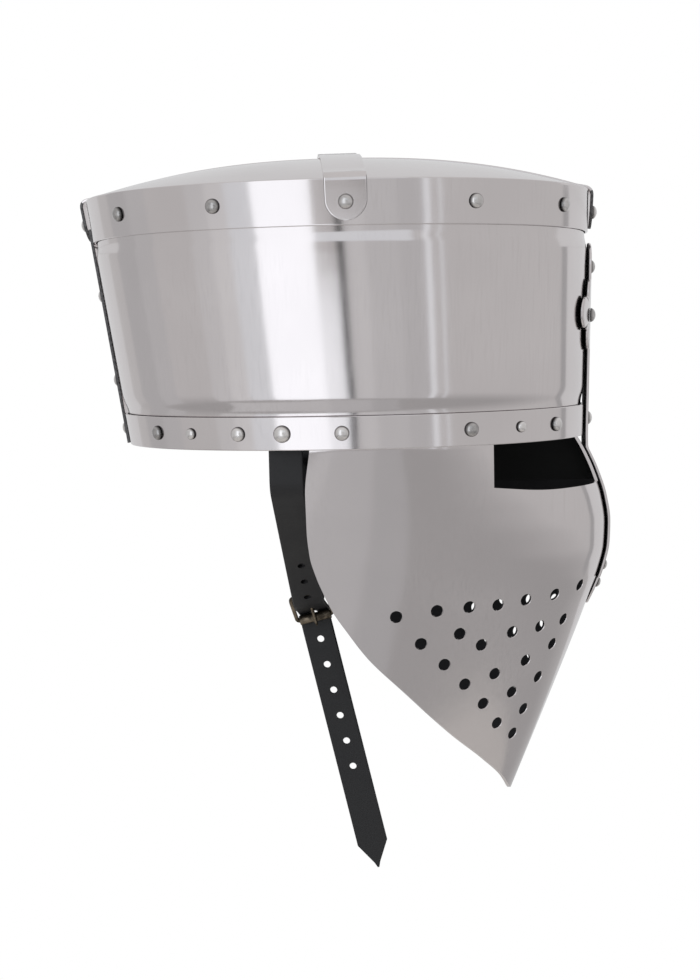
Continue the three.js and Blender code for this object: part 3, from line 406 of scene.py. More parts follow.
def between(places, values, at):
    """Reads a value at a place between given ones, along a smooth line that never overshoots."""
    if at <= places[0]:
        return values[0]
    if at >= places[-1]:
        return values[-1]
    slopes = [(values[i + 1] - values[i]) / (places[i + 1] - places[i]) for i in range(len(places) - 1)]

    def tangent(i):
        if i in (0, len(places) - 1):
            return slopes[min(i, len(slopes) - 1)]
        before, after = slopes[i - 1], slopes[i]
        return 0 if before * after <= 0 else 2 * before * after / (before + after)

    i = max(k for k in range(len(places) - 1) if places[k] <= at)
    step = places[i + 1] - places[i]
    t = (at - places[i]) / step
    return (
        (2 * t**3 - 3 * t**2 + 1) * values[i]
        + (t**3 - 2 * t**2 + t) * step * tangent(i)
        + (3 * t**2 - 2 * t**3) * values[i + 1]
        + (t**3 - t**2) * step * tangent(i + 1)
    )


def column(table, name):
    return [row[name] for row in table]


def bend_points(before, corner, after, radius, steps):
    """The arc that replaces a corner, with a point on each flat beside it that keeps the flat flat."""
    to_before, to_after = (before - corner).length, (after - corner).length
    # Two arcs have to fit on each side
    reach = min(radius, to_before / 2.2, to_after / 2.2)
    start, end = corner.lerp(before, reach / to_before), corner.lerp(after, reach / to_after)
    arc = []
    for k in range(steps + 1):
        t = k / steps
        arc.append(start.lerp(corner, t).lerp(corner.lerp(end, t), t))
    if to_before > 4 * reach:
        arc.insert(0, corner.lerp(before, 1.8 * reach / to_before))
    if to_after > 4 * reach:
        arc.append(corner.lerp(after, 1.8 * reach / to_after))
    return arc


def eased(corners, steps=4):
    """A closed line of corners with each one rounded by its own radius."""
    points = []
    for i, corner in enumerate(corners):
        if corner.radius <= 0:
            points.append(corner)
            continue
        before, after = corners[i - 1].point, corners[(i + 1) % len(corners)].point
        arc = bend_points(before, corner.point, after, corner.radius, steps)
        points.extend(Corner(point, 0, corner.inside) for point in arc)
    return points


def rounded(route, radius, steps=8):
    """An open route with its inner corners rounded."""
    points = [route[0]]
    for before, corner, after in zip(route, route[1:], route[2:]):
        points.extend(bend_points(before, corner, after, radius, steps))
    points.append(route[-1])
    return points


def stepped(route, longest):
    """A route with points put along its long stretches."""
    points = []
    for here, after in zip(route, route[1:]):
        steps = max(1, math.ceil((after - here).length / longest))
        points.extend(here.lerp(after, k / steps) for k in range(steps))
    points.append(route[-1])
    return points


def walk(route, distance):
    """The place on a route at a distance from its start, and the route's direction there."""
    for here, after in zip(route, route[1:]):
        step = (after - here).length
        if distance <= step:
            return here.lerp(after, distance / step), (after - here).normalized()
        distance -= step
    return route[-1], (route[-1] - route[-2]).normalized()


def distance_to(route, place):
    """How far along a route its point nearest to a place is."""
    best, at, reached = math.inf, 0, 0
    for here, after in zip(route, route[1:]):
        along = after - here
        share = min(1, max(0, (place - here).dot(along) / along.length_squared))
        gap = (here.lerp(after, share) - place).length
        if gap < best:
            best, at = gap, reached + share * along.length
        reached += along.length
    return at


def mesh_piece(name, vertices, faces, materials, slots=None):
    """A closed piece with its faces outwards, smooth except at its sharp edges."""
    mesh = bpy.data.meshes.new(name)
    mesh.from_pydata([tuple(v) for v in vertices], [], faces)
    if slots:
        mesh.polygons.foreach_set("material_index", slots)
    piece = bpy.data.objects.new(name, mesh)
    bpy.context.scene.collection.objects.link(piece)
    for material in materials:
        mesh.materials.append(material)
    tidy(piece)
    return piece


def tidy(piece, sharp=math.radians(38)):
    """Merges doubles, turns the faces outwards and marks the sharp edges."""
    work = bmesh.new()
    work.from_mesh(piece.data)
    bmesh.ops.remove_doubles(work, verts=work.verts, dist=1e-7)
    bmesh.ops.dissolve_degenerate(work, edges=work.edges, dist=1e-8)
    bmesh.ops.recalc_face_normals(work, faces=work.faces)
    for face in work.faces:
        face.smooth = True
    for edge in work.edges:
        edge.smooth = len(edge.link_faces) == 2 and edge.calc_face_angle(0) < sharp
    work.to_mesh(piece.data)
    work.free()
    piece.data.update()


def loft(name, sections, closed, materials, outward=None):
    """A piece through sections of corners that each go once round. Its ends are capped unless it is closed.

    Its second material is for the faces between inside corners. Where the sections come with the outward
    directions of their sheet, it is for the faces of the sheet's edge.
    """
    size = len(sections[0])
    vertices = [corner.point for section in sections for corner in section]
    faces, slots = [], []
    joins = len(sections) if closed else len(sections) - 1
    for s in range(joins):
        here, after = s * size, (s + 1) % len(sections) * size
        for i in range(size):
            j = (i + 1) % size
            face = (here + i, here + j, after + j, after + i)
            faces.append(face)
            if outward:
                facing = across_face(*(vertices[corner] for corner in face))
                slots.append(int(outward[s] is not None and abs(facing.dot(outward[s])) < FLAT_SIDE))
            else:
                slots.append(int(sections[s][i].inside and sections[s][j].inside))
    if not closed:
        end = (len(sections) - 1) * size
        for first in (0, end):
            for i in range(size // 2 - 1):
                opposite = size - 1 - i
                faces.append((first + i, first + i + 1, first + opposite - 1, first + opposite))
                slots.append(int(outward is not None))
    return mesh_piece(name, vertices, faces, materials, slots)


def across_face(a, b, c, d):
    """The direction square to a face of four corners."""
    return (c - a).cross(d - b).normalized()


def points_piece(name, rivets):
    """A helper of bare points that each carry an outward direction and a width."""
    mesh = bpy.data.meshes.new(name)
    mesh.from_pydata([tuple(r.foot) for r in rivets], [], [])
    outward = mesh.attributes.new("outward", "FLOAT_VECTOR", "POINT")
    outward.data.foreach_set("vector", [v for r in rivets for v in r.outward])
    width = mesh.attributes.new("width", "FLOAT", "POINT")
    width.data.foreach_set("value", [r.width for r in rivets])
    piece = bpy.data.objects.new(name, mesh)
    bpy.context.scene.collection.objects.link(piece)
    return piece


def applied(piece):
    """Turns a piece and its modifiers into a plain mesh."""
    graph = bpy.context.evaluated_depsgraph_get()
    made = bpy.data.meshes.new_from_object(piece.evaluated_get(graph), depsgraph=graph)
    piece.modifiers.clear()
    old, piece.data = piece.data, made
    name = old.name
    bpy.data.meshes.remove(old)
    made.name = name
    return piece


def remove(piece):
    mesh = piece.data
    bpy.data.objects.remove(piece)
    bpy.data.meshes.remove(mesh)


def carve(piece, cutter):
    """Takes a closed cutter out of a piece."""
    modifier = piece.modifiers.new("carve", "BOOLEAN")
    modifier.operation = "DIFFERENCE"
    modifier.solver = "EXACT"
    modifier.object = cutter
    applied(piece)
    remove(cutter)
    tidy(piece)


def place(piece, slot, *nodes):
    """Puts a piece on the helmet in place of the nodes that it stands for."""
    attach(piece, "root")
    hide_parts(*nodes)


# The surfaces that the sheets follow


class Form:
    """Works out the surfaces from the sizes in the sidebar."""

    def __init__(self, scene):
        self.skull = scene.helmet_skull
        self.face = scene.helmet_face
        self.straps = scene.helmet_straps
        self.power = self.skull.section_power
        self.joggle = self.skull.wall + self.skull.clearance
        self.face_inset = 2 * self.joggle
        self.flange_foot = self.skull.crown_height - self.skull.flange_height
        self.on_sheet = self.skull.clearance + self.skull.wall / 2

    def skull_section(self, height):
        s = self.skull
        share = height / s.crown_height
        half_length = (s.brow_length + (s.crown_length - s.brow_length) * share) / 2
        half_width = (s.brow_width + (s.crown_width - s.brow_width) * share) / 2
        return Section(half_length, half_width, s.crown_setback * share)

    def on_section(self, section, turn, inset, height):
        x = -(section.half_width - inset) * powered(math.cos(turn), self.power)
        y = section.middle - (section.half_length - inset) * powered(math.sin(turn), self.power)
        return Vector((x, y, height))

    def skull_point(self, turn, height, inset=0):
        return self.on_section(self.skull_section(height), turn, inset, height)

    def dome_height(self, reach):
        return self.skull.crown_height + self.skull.dome_rise * (1 - reach**self.skull.dome_power)

    def dome_point(self, turn, reach, below=0):
        """The point at a turn, at a share of the way from the dome's middle to its rim."""
        section = self.skull_section(self.skull.crown_height)
        rim = Section(
            (section.half_length - self.skull.corner_radius) * reach,
            (section.half_width - self.skull.corner_radius) * reach,
            section.middle,
        )
        return self.on_section(rim, turn, 0, self.dome_height(reach) - below)

    def dome_reach(self, x, y):
        """How far out on the dome a place is: 0 is its middle and 1 its rim."""
        section = self.skull_section(self.skull.crown_height)
        across = abs(x) / (section.half_width - self.skull.corner_radius)
        along = abs(y - section.middle) / (section.half_length - self.skull.corner_radius)
        return (across**self.power + along**self.power) ** (1 / self.power)

    def face_section(self, down):
        """The face plate's section at a share of the way down. Its sides narrow more above than below."""
        f, brow = self.face, self.skull_section(0)
        ahead = [f.nose_bulge * row["bulge"] - f.chin_setback * row["back"] for row in FACE_PROFILE]
        front = -(brow.half_length - self.face_inset) - between(column(FACE_PROFILE, "down"), ahead, down)
        middle = f.cheek_setback * down
        narrowing = f.narrowing * (1.5 * down - 0.5 * down**2)
        return Section(middle - front, brow.half_width - self.face_inset - narrowing, middle)

    def face_point(self, turn, height, inset=0):
        if height > 0:
            return self.skull_point(turn, height, self.face_inset + inset)
        return self.on_section(self.face_section(-height / self.face.drop), turn, inset, height)

    def face_edge_turn(self, height):
        """The turn at which the face plate ends at a height."""
        tip = self.face_point(FRONT, -self.face.drop).y
        down = max(0, -height / self.face.drop)
        back = between(column(FACE_EDGE, "down"), column(FACE_EDGE, "back"), down)
        y = tip + (self.face.rear_edge - tip) * back
        section = self.face_section(down)
        share = min(1, (section.middle - y) / section.half_length)
        return math.asin(powered(share, 4 / self.power))

    def front_of(self, section, x):
        """How far to the front a section reaches at a distance from the middle line."""
        share = abs(x) / section.half_width
        return section.middle - section.half_length * (1 - share**self.power) ** (1 / self.power)

    def side_of(self, section, y, inset):
        """How far to the side a section reaches at a place along the helmet."""
        share = abs(y - section.middle) / (section.half_length - inset)
        return (section.half_width - inset) * (1 - share**self.power) ** (1 / self.power)

    def front_at(self, x, height):
        """The front that the cross lies on: the skull and the brow band, then the face plate."""
        if height >= 0:
            return self.front_of(self.skull_section(height), x)
        face = self.front_of(self.face_section(-height / self.face.drop), x)
        return min(self.front_of(self.skull_section(0), x), face)

    def turn_of(self, forward, side):
        """The turn of a place that is a share of half the length forward of the middle, on one side."""
        turn = math.copysign(math.asin(abs(forward) ** (self.power / 2)), forward)
        return turn if side == RIGHT else math.pi - turn

    def outward(self, point_at, turn, height):
        """The direction square to a surface, from its points close by."""
        small = 0.01
        round_it = point_at(turn + small, height) - point_at(turn - small, height)
        up = point_at(turn, height + MM) - point_at(turn, height - MM)
        return round_it.cross(up).normalized()

    def all_turns(self):
        return [2 * math.pi * i / self.skull.facets for i in range(self.skull.facets)]


# Materials


def new_material(name):
    material = bpy.data.materials.new(name)
    material.use_nodes = True
    material.node_tree.nodes.clear()
    return material


def node(tree, kind, inputs=None, **settings):
    """Adds a node. Each input is a value, or the socket that feeds it."""
    made = tree.nodes.new(kind)
    for key, value in settings.items():
        setattr(made, key, value)
    for key, value in (inputs or {}).items():
        if isinstance(value, bpy.types.NodeSocket):
            tree.links.new(value, made.inputs[key])
        else:
            made.inputs[key].default_value = value
    return made


def mixed(tree, share, low, high):
    """A colour between two others."""
    made = tree.nodes.new("ShaderNodeMix")
    made.data_type = "RGBA"
    tree.links.new(share, made.inputs["Factor"])
    for socket, value in ((made.inputs[6], low), (made.inputs[7], high)):
        if isinstance(value, bpy.types.NodeSocket):
            tree.links.new(value, socket)
        else:
            socket.default_value = (*value, 1)
    return made.outputs[2]


def mottled(tree, pattern, ends, dark, light):
    """A colour that goes from dark to light as a pattern goes from one end to the other."""
    return mixed(tree, ranged(tree, pattern, 0, 1, *ends), dark, light)


def ranged(tree, value, low, high, from_low=0.0, from_high=1.0):
    inputs = {"Value": value, "From Min": from_low, "From Max": from_high, "To Min": low, "To Max": high}
    return node(tree, "ShaderNodeMapRange", inputs).outputs[0]


def noise(tree, coordinates, scale, detail=3.0, stretch=(1, 1, 1)):
    mapping = node(tree, "ShaderNodeMapping", {"Vector": coordinates, "Scale": stretch})
    inputs = {"Vector": mapping.outputs[0], "Scale": scale, "Detail": detail}
    return node(tree, "ShaderNodeTexNoise", inputs).outputs[0]


def bumped(tree, height, distance, strength, normal=None):
    inputs = {"Height": height, "Distance": distance, "Strength": strength}
    if normal is not None:
        inputs["Normal"] = normal
    return node(tree, "ShaderNodeBump", inputs).outputs[0]


def finish_material(tree, shader_inputs):
    shader = node(tree, "ShaderNodeBsdfPrincipled", shader_inputs)
    node(tree, "ShaderNodeOutputMaterial", {"Surface": shader.outputs[0]})


def shade(value, factor):
    return tuple(min(1, channel * factor) for channel in value)


def satin_steel(finish):
    """Sheet steel brushed up and down, with the slight waves of worked sheet."""
    material = new_material("satin_steel")
    tree = material.node_tree
    at = node(tree, "ShaderNodeTexCoord").outputs["Object"]
    brushing = noise(tree, at, 900, 4, (1, 1, 0.02))
    grain = noise(tree, at, 2600, 2)
    clouds = noise(tree, at, 16, 3)
    waves = noise(tree, at, 22, 1.5)
    tint = mottled(tree, clouds, (0.3, 0.7), shade(finish.steel, 0.96), shade(finish.steel, 1.03))
    fine = mottled(tree, brushing, (0.25, 0.5), shade(finish.steel, 0.97), tint)
    normal = bumped(tree, waves, 0.0007, 0.22)
    normal = bumped(tree, brushing, 0.000006, 0.08, normal)
    normal = bumped(tree, grain, 0.000004, 0.06, normal)
    rough = finish.steel_roughness
    roughness = ranged(tree, brushing, rough, rough + 0.02, 0.3, 0.7)
    finish_material(tree, {"Base Color": fine, "Metallic": 1.0, "Roughness": roughness, "Normal": normal})
    return material


def blackened_steel(finish):
    """The dull black inside of the helmet."""
    material = new_material("blackened_steel")
    tree = material.node_tree
    at = node(tree, "ShaderNodeTexCoord").outputs["Object"]
    patches = noise(tree, at, 60, 4)
    tint = mottled(tree, patches, (0.3, 0.7), shade(finish.lining, 0.8), shade(finish.lining, 1.5))
    normal = bumped(tree, noise(tree, at, 1500, 3), 0.0001, 0.3)
    roughness = ranged(tree, patches, 0.65, 0.8)
    inputs = {"Base Color": tint, "Roughness": roughness, "Specular IOR Level": 0.2, "Normal": normal}
    finish_material(tree, inputs)
    return material


def cut_steel(finish):
    """Painted shadow: a dull dark finish for the edge faces that stand for the dark gap beside a sheet."""
    material = new_material("cut_steel")
    tree = material.node_tree
    at = node(tree, "ShaderNodeTexCoord").outputs["Object"]
    scuffs = noise(tree, at, 700, 4)
    edge = finish.gap_shadow_colour
    tint = mottled(tree, scuffs, (0.35, 0.7), shade(edge, 0.7), shade(edge, 1.8))
    normal = bumped(tree, scuffs, 0.0001, 0.3)
    inputs = {"Base Color": tint, "Metallic": 0.6, "Roughness": 0.45, "Normal": normal}
    finish_material(tree, inputs)
    return material


def rivet_steel(finish):
    """Cast heads whose colour darkens towards the foot as painted shade."""
    material = new_material("rivet_steel")
    tree = material.node_tree
    at = node(tree, "ShaderNodeTexCoord").outputs["Object"]
    rise = node(tree, "ShaderNodeAttribute", attribute_name="rise").outputs["Fac"]
    pits = noise(tree, at, 600, 2)
    tone = noise(tree, at, 31, 0)
    own = mottled(tree, tone, (0.4, 0.56), shade(finish.rivet, 0.5), finish.rivet)
    worn = mixed(tree, ranged(tree, pits, 0, 0.25, 0.35, 0.65), own, shade(finish.rivet, 1.1))
    # Painted shade: the head goes almost black towards its foot, by its rise
    tint = mottled(tree, rise, (0.16, 0.6), shade(finish.rivet, 0.1), worn)
    normal = bumped(tree, pits, 0.0002, 0.15)
    roughness = ranged(tree, pits, 0.2, 0.3)
    finish_material(tree, {"Base Color": tint, "Metallic": 1.0, "Roughness": roughness, "Normal": normal})
    return material


def black_leather(finish):
    """Dyed leather with a fine grain and a few creases."""
    material = new_material("black_leather")
    tree = material.node_tree
    at = node(tree, "ShaderNodeTexCoord").outputs["Object"]
    cells = node(tree, "ShaderNodeTexVoronoi", {"Vector": at, "Scale": 1500.0}, feature="DISTANCE_TO_EDGE")
    pores = noise(tree, at, 2200, 3)
    creases = noise(tree, at, 90, 5, (1, 0.6, 2.2))
    wear = noise(tree, at, 45, 4)
    tint = mottled(tree, wear, (0.35, 0.7), shade(finish.leather, 0.8), shade(finish.leather, 1.5))
    normal = bumped(tree, cells.outputs["Distance"], 0.0002, 0.35)
    normal = bumped(tree, pores, 0.0001, 0.3, normal)
    normal = bumped(tree, creases, 0.0006, 0.25, normal)
    roughness = ranged(tree, wear, 0.42, 0.6, 0.3, 0.7)
    inputs = {"Base Color": tint, "Roughness": roughness, "Specular IOR Level": 0.45, "Normal": normal}
    finish_material(tree, inputs)
    return material


def aged_brass(finish):
    """Brass gone brown, brighter where it rubs."""
    material = new_material("aged_brass")
    tree = material.node_tree
    at = node(tree, "ShaderNodeTexCoord").outputs["Object"]
    patina = noise(tree, at, 260, 5)
    scratches = noise(tree, at, 1800, 3, (1, 1, 0.15))
    tint = mottled(tree, patina, (0.38, 0.62), shade(finish.brass, 0.35), shade(finish.brass, 1.25))
    normal = bumped(tree, scratches, 0.0001, 0.3)
    normal = bumped(tree, patina, 0.0003, 0.3, normal)
    roughness = ranged(tree, patina, 0.55, 0.35, 0.35, 0.65)
    finish_material(tree, {"Base Color": tint, "Metallic": 1.0, "Roughness": roughness, "Normal": normal})
    return material


MATERIALS = {
    "satin_steel": satin_steel,
    "blackened_steel": blackened_steel,
    "cut_steel": cut_steel,
    "rivet_steel": rivet_steel,
    "black_leather": black_leather,
    "aged_brass": aged_brass,
}


def material_of(scene, name):
    """The material of a name, made when it is first asked for."""
    return bpy.data.materials.get(name) or MATERIALS[name](scene.helmet_finishes)


def sheet_materials(scene):
    return [material_of(scene, "satin_steel"), material_of(scene, "blackened_steel")]


# Geometry Nodes


def new_tree(name, inputs):
    """A node tree that takes geometry and named inputs, and gives geometry."""
    tree = bpy.data.node_groups.new(name, "GeometryNodeTree")
    tree.interface.new_socket("Geometry", in_out="INPUT", socket_type="NodeSocketGeometry")
    for row in inputs:
        made = tree.interface.new_socket(row["name"], in_out="INPUT", socket_type=row["kind"])
        if "default" in row:
            made.default_value = row["default"]
    tree.interface.new_socket("Geometry", in_out="OUTPUT", socket_type="NodeSocketGeometry")
    return tree


def maths(tree, operation, first, second):
    return node(tree, "ShaderNodeMath", {0: first, 1: second}, operation=operation).outputs[0]


def carried(tree, name, kind):
    """What the points or faces carry under a name."""
    return node(tree, "GeometryNodeInputNamedAttribute", {"Name": name}, data_type=kind).outputs[0]


def spread_on(tree, points, instance, **more):
    """Puts a shape on each point, along the point's outward direction, as real faces."""
    outward = carried(tree, "outward", "FLOAT_VECTOR")
    turned = node(tree, "FunctionNodeAlignRotationToVector", {"Vector": outward}, axis="Z").outputs[0]
    inputs = {"Points": points, "Instance": instance, "Rotation": turned, **more}
    spread = node(tree, "GeometryNodeInstanceOnPoints", inputs).outputs[0]
    return node(tree, "GeometryNodeRealizeInstances", {0: spread}).outputs[0]


def rivet_tree():
    """Puts a domed head on each point, as wide as the point says."""
    tree = new_tree("rivet_heads", [
        {"name": "Proportion", "kind": "NodeSocketFloat", "default": 0.36},
        {"name": "Segments", "kind": "NodeSocketInt", "default": 24},
        {"name": "Rings", "kind": "NodeSocketInt", "default": 16},
        {"name": "Material", "kind": "NodeSocketMaterial"},
    ])
    given = tree.nodes.new("NodeGroupInput").outputs
    ball_inputs = {"Segments": given["Segments"], "Rings": given["Rings"], "Radius": 0.5}
    ball = node(tree, "GeometryNodeMeshUVSphere", ball_inputs).outputs["Mesh"]
    at = node(tree, "ShaderNodeSeparateXYZ", {0: node(tree, "GeometryNodeInputPosition").outputs[0]})
    rise = maths(tree, "MAXIMUM", at.outputs["Z"], 0.0)
    share = maths(tree, "MULTIPLY", rise, 2.0)
    height = maths(tree, "MULTIPLY", share, given["Proportion"])
    spot_inputs = {"X": at.outputs["X"], "Y": at.outputs["Y"], "Z": height}
    spot = node(tree, "ShaderNodeCombineXYZ", spot_inputs).outputs[0]
    # The head's rise is kept for the painted shade at its foot
    stored_inputs = {"Geometry": ball, "Name": "rise", "Value": share}
    stored = node(tree, "GeometryNodeStoreNamedAttribute", stored_inputs, data_type="FLOAT", domain="POINT")
    head_inputs = {"Geometry": stored.outputs[0], "Position": spot}
    head = node(tree, "GeometryNodeSetPosition", head_inputs).outputs[0]
    real = spread_on(tree, given["Geometry"], head, Scale=carried(tree, "width", "FLOAT"))
    painted_inputs = {"Geometry": real, "Material": given["Material"]}
    painted = node(tree, "GeometryNodeSetMaterial", painted_inputs).outputs[0]
    node(tree, "NodeGroupOutput", {0: painted})
    return tree


def hole_tree():
    """Punches a hole at each point of another object, with a worn edge where the hole meets the face."""
    tree = new_tree("punched_holes", [
        {"name": "Places", "kind": "NodeSocketObject"},
        {"name": "Depth", "kind": "NodeSocketFloat", "default": 0.01},
        {"name": "Chamfer", "kind": "NodeSocketFloat", "default": 0.0003},
        {"name": "Sides", "kind": "NodeSocketInt", "default": 24},
        {"name": "Material", "kind": "NodeSocketMaterial"},
    ])
    given = tree.nodes.new("NodeGroupInput").outputs
    places = node(tree, "GeometryNodeObjectInfo", {"Object": given["Places"]}).outputs["Geometry"]
    cutter = flared_punch(tree, given, places)
    real = spread_on(tree, places, cutter)
    punched = node(tree, "GeometryNodeMeshBoolean", {"Mesh 1": given["Geometry"]}, operation="DIFFERENCE")
    punched.solver = "EXACT"
    tree.links.new(real, punched.inputs["Mesh 2"])
    wall = carried(tree, "hole_wall", "BOOLEAN")
    painted_inputs = {"Geometry": punched.outputs["Mesh"], "Selection": wall, "Material": given["Material"]}
    painted = node(tree, "GeometryNodeSetMaterial", painted_inputs).outputs[0]
    node(tree, "NodeGroupOutput", {0: painted})
    return tree


def flared_punch(tree, given, places):
    """A cylinder that widens outwards from just below the face. Its faces inside the hole are marked."""
    width = carried(tree, "width", "FLOAT")
    widest = node(tree, "GeometryNodeAttributeStatistic", {"Geometry": places, 2: width}).outputs["Max"]
    radius = maths(tree, "MULTIPLY", widest, 0.5)
    sides, depth = given["Sides"], given["Depth"]
    bore_inputs = {"Vertices": sides, "Side Segments": 2, "Radius": radius, "Depth": depth}
    bore = node(tree, "GeometryNodeMeshCylinder", bore_inputs).outputs["Mesh"]
    spot = node(tree, "GeometryNodeInputPosition").outputs[0]
    height = node(tree, "ShaderNodeSeparateXYZ", {0: spot}).outputs["Z"]
    above = {"A": height, "B": MM / 10}
    upper = node(tree, "FunctionNodeCompare", above, operation="GREATER_THAN").outputs[0]
    flare = {0: spot, 1: (PUNCH_FLARE, PUNCH_FLARE, 1)}
    spread_out = node(tree, "ShaderNodeVectorMath", flare, operation="MULTIPLY").outputs[0]
    flared_inputs = {"Geometry": bore, "Selection": upper, "Position": spread_out}
    flared = node(tree, "GeometryNodeSetPosition", flared_inputs).outputs[0]
    deep = node(tree, "FunctionNodeCompare", {"A": height, "B": 0.0}, operation="LESS_THAN").outputs[0]
    marked_inputs = {"Geometry": flared, "Name": "hole_wall", "Value": deep}
    on_faces = {"data_type": "BOOLEAN", "domain": "FACE"}
    marked = node(tree, "GeometryNodeStoreNamedAttribute", marked_inputs, **on_faces)
    sunk = maths(tree, "MULTIPLY", given["Chamfer"], -1.0)
    offset = node(tree, "ShaderNodeCombineXYZ", {"Z": sunk}).outputs[0]
    cutter_inputs = {"Geometry": marked.outputs[0], "Translation": offset}
    return node(tree, "GeometryNodeTransform", cutter_inputs).outputs[0]


TREES = {"rivet_heads": rivet_tree, "punched_holes": hole_tree}


def with_nodes(piece, tree_name, **inputs):
    """Runs a node tree on a piece and keeps the result as a plain mesh."""
    tree = bpy.data.node_groups.get(tree_name) or TREES[tree_name]()
    modifier = piece.modifiers.new(tree_name, "NODES")
    modifier.node_group = tree
    sockets = {item.name: item.identifier for item in tree.interface.items_tree if item.in_out == "INPUT"}
    for name, value in inputs.items():
        modifier[sockets[name]] = value
    return applied(piece)


def punch(piece, places, depth, chamfer, sides, material):
    """Punches a hole at each place. The walls of the holes get the material."""
    helper = points_piece(piece.name + "_places", places)
    with_nodes(
        piece, "punched_holes", Places=helper, Depth=depth, Chamfer=chamfer, Sides=sides, Material=material
    )
    remove(helper)
    tidy(piece)


# Skull


def ring_piece(name, form, corners_at, scene):
    """A closed ring of sheet, from the corners of its section at each turn."""
    sections = [eased(corners_at(turn)) for turn in form.all_turns()]
    return loft(name, sections, True, sheet_materials(scene))


def wall_corners(form, rows):
    """The section of a wall from rows of height, inset and bend radius."""
    wall, edge = form.skull.wall, form.skull.edge_radius

    def at(turn):
        outer, inner = [], []
        for i, (height, inset, radius) in enumerate(rows):
            ends = i in (0, len(rows) - 1)
            rounding = edge if ends else radius
            outer.append(Corner(form.skull_point(turn, height, inset), rounding, False))
            inner.append(Corner(form.skull_point(turn, height, inset + wall), rounding, True))
        return outer + inner[::-1]

    return at


def cap_corners(form, steps=40):
    """The section of the cap: the dome from its middle to its rim, the flange, and back inside."""
    s = form.skull
    reaches = [math.sin(FRONT * i / steps) for i in range(steps)]

    def at(turn):
        top = [Corner(form.dome_point(turn, reach), 0, False) for reach in reaches]
        rim = [
            Corner(form.skull_point(turn, s.crown_height), s.corner_radius, False),
            Corner(form.skull_point(turn, form.flange_foot), s.edge_radius, False),
            Corner(form.skull_point(turn, form.flange_foot, s.wall), s.edge_radius, True),
            Corner(form.skull_point(turn, s.crown_height - s.corner_radius - s.clearance, s.wall), 0, True),
        ]
        under = [Corner(form.dome_point(turn, reach, s.wall), 0, True) for reach in reversed(reaches)]
        return top + rim + under

    return at


def drum_rows(form):
    """The drum's rows of height, inset and bend radius, with a joggle at each end."""
    s = form.skull
    foot = s.band_height + s.joggle_from_edge
    head = form.flange_foot - s.joggle_from_edge
    bend = s.joggle_radius
    return [
        (s.drum_foot, form.joggle, 0),
        (foot, form.joggle, bend),
        (foot + s.joggle_length, s.wall_inset, bend),
        (head - s.joggle_length, s.wall_inset, bend),
        (head, form.joggle, bend),
        (form.flange_foot + s.cap_lap, form.joggle, 0),
    ]


# Face plate


def face_sections(form, lap_rows=6, crowding=1.15):
    """The face plate's sections from its upper edge down, closer together towards the chin's tip."""
    f, s = form.face, form.skull
    heights = [f.lap * (1 - k / lap_rows) for k in range(lap_rows)]
    heights += [-f.drop * (1 - (1 - k / f.rows) ** crowding) for k in range(f.rows + 1)]
    for height in heights:
        start = form.face_edge_turn(height)
        turns = [start + (math.pi - 2 * start) * i / f.columns for i in range(f.columns + 1)]
        outer = [Corner(form.face_point(turn, height), 0, False) for turn in turns]
        inner = [Corner(form.face_point(turn, height, s.wall), 0, True) for turn in reversed(turns)]
        yield [
            outer[0]._replace(radius=s.edge_radius),
            *outer[1:-1],
            outer[-1]._replace(radius=s.edge_radius),
            inner[0]._replace(radius=s.edge_radius),
            *inner[1:-1],
            inner[-1]._replace(radius=s.edge_radius),
        ]


def side_prism(corners, from_x, to_x):
    """A cutter along X from a side view of (y, z) corners."""
    near = [Vector((from_x, y, z)) for y, z in corners]
    far = [Vector((to_x, y, z)) for y, z in corners]
    size = len(corners)
    faces = [tuple(range(size)), tuple(range(size, 2 * size))]
    faces += [(i, (i + 1) % size, size + (i + 1) % size, size + i) for i in range(size)]
    return mesh_piece("cutter", near + far, faces, [])


def eye_slot(form, side):
    """A cutter for the eye slot of one side, from the nasal bar to the slot's rear edge."""
    f = form.face
    beyond = -form.skull.brow_length
    rear = Vector((f.slot_rear_edge, -f.slot_rear_depth))
    lowest = Vector((f.slot_rear_edge - f.slot_run, -f.slot_front_depth))
    front = Vector((beyond, -f.slot_front_depth))
    edge = [rear] + bend_points(rear, lowest, front, 0.4 * f.slot_run, 12) + [front]
    corners = [(rear.x, 0), *edge, (front.x, 0)]
    return side_prism(corners, side * f.nasal_width / 2, side * form.skull.brow_width)


def breath_holes(form):
    for row in BREATH_HOLES:
        height = -row["down"] * form.face.drop
        for turn in (math.radians(row["turn"]), math.pi - math.radians(row["turn"])):
            outward = form.outward(form.face_point, turn, height)
            yield Spot(form.face_point(turn, height), outward, form.face.hole_diameter)


# Front cross


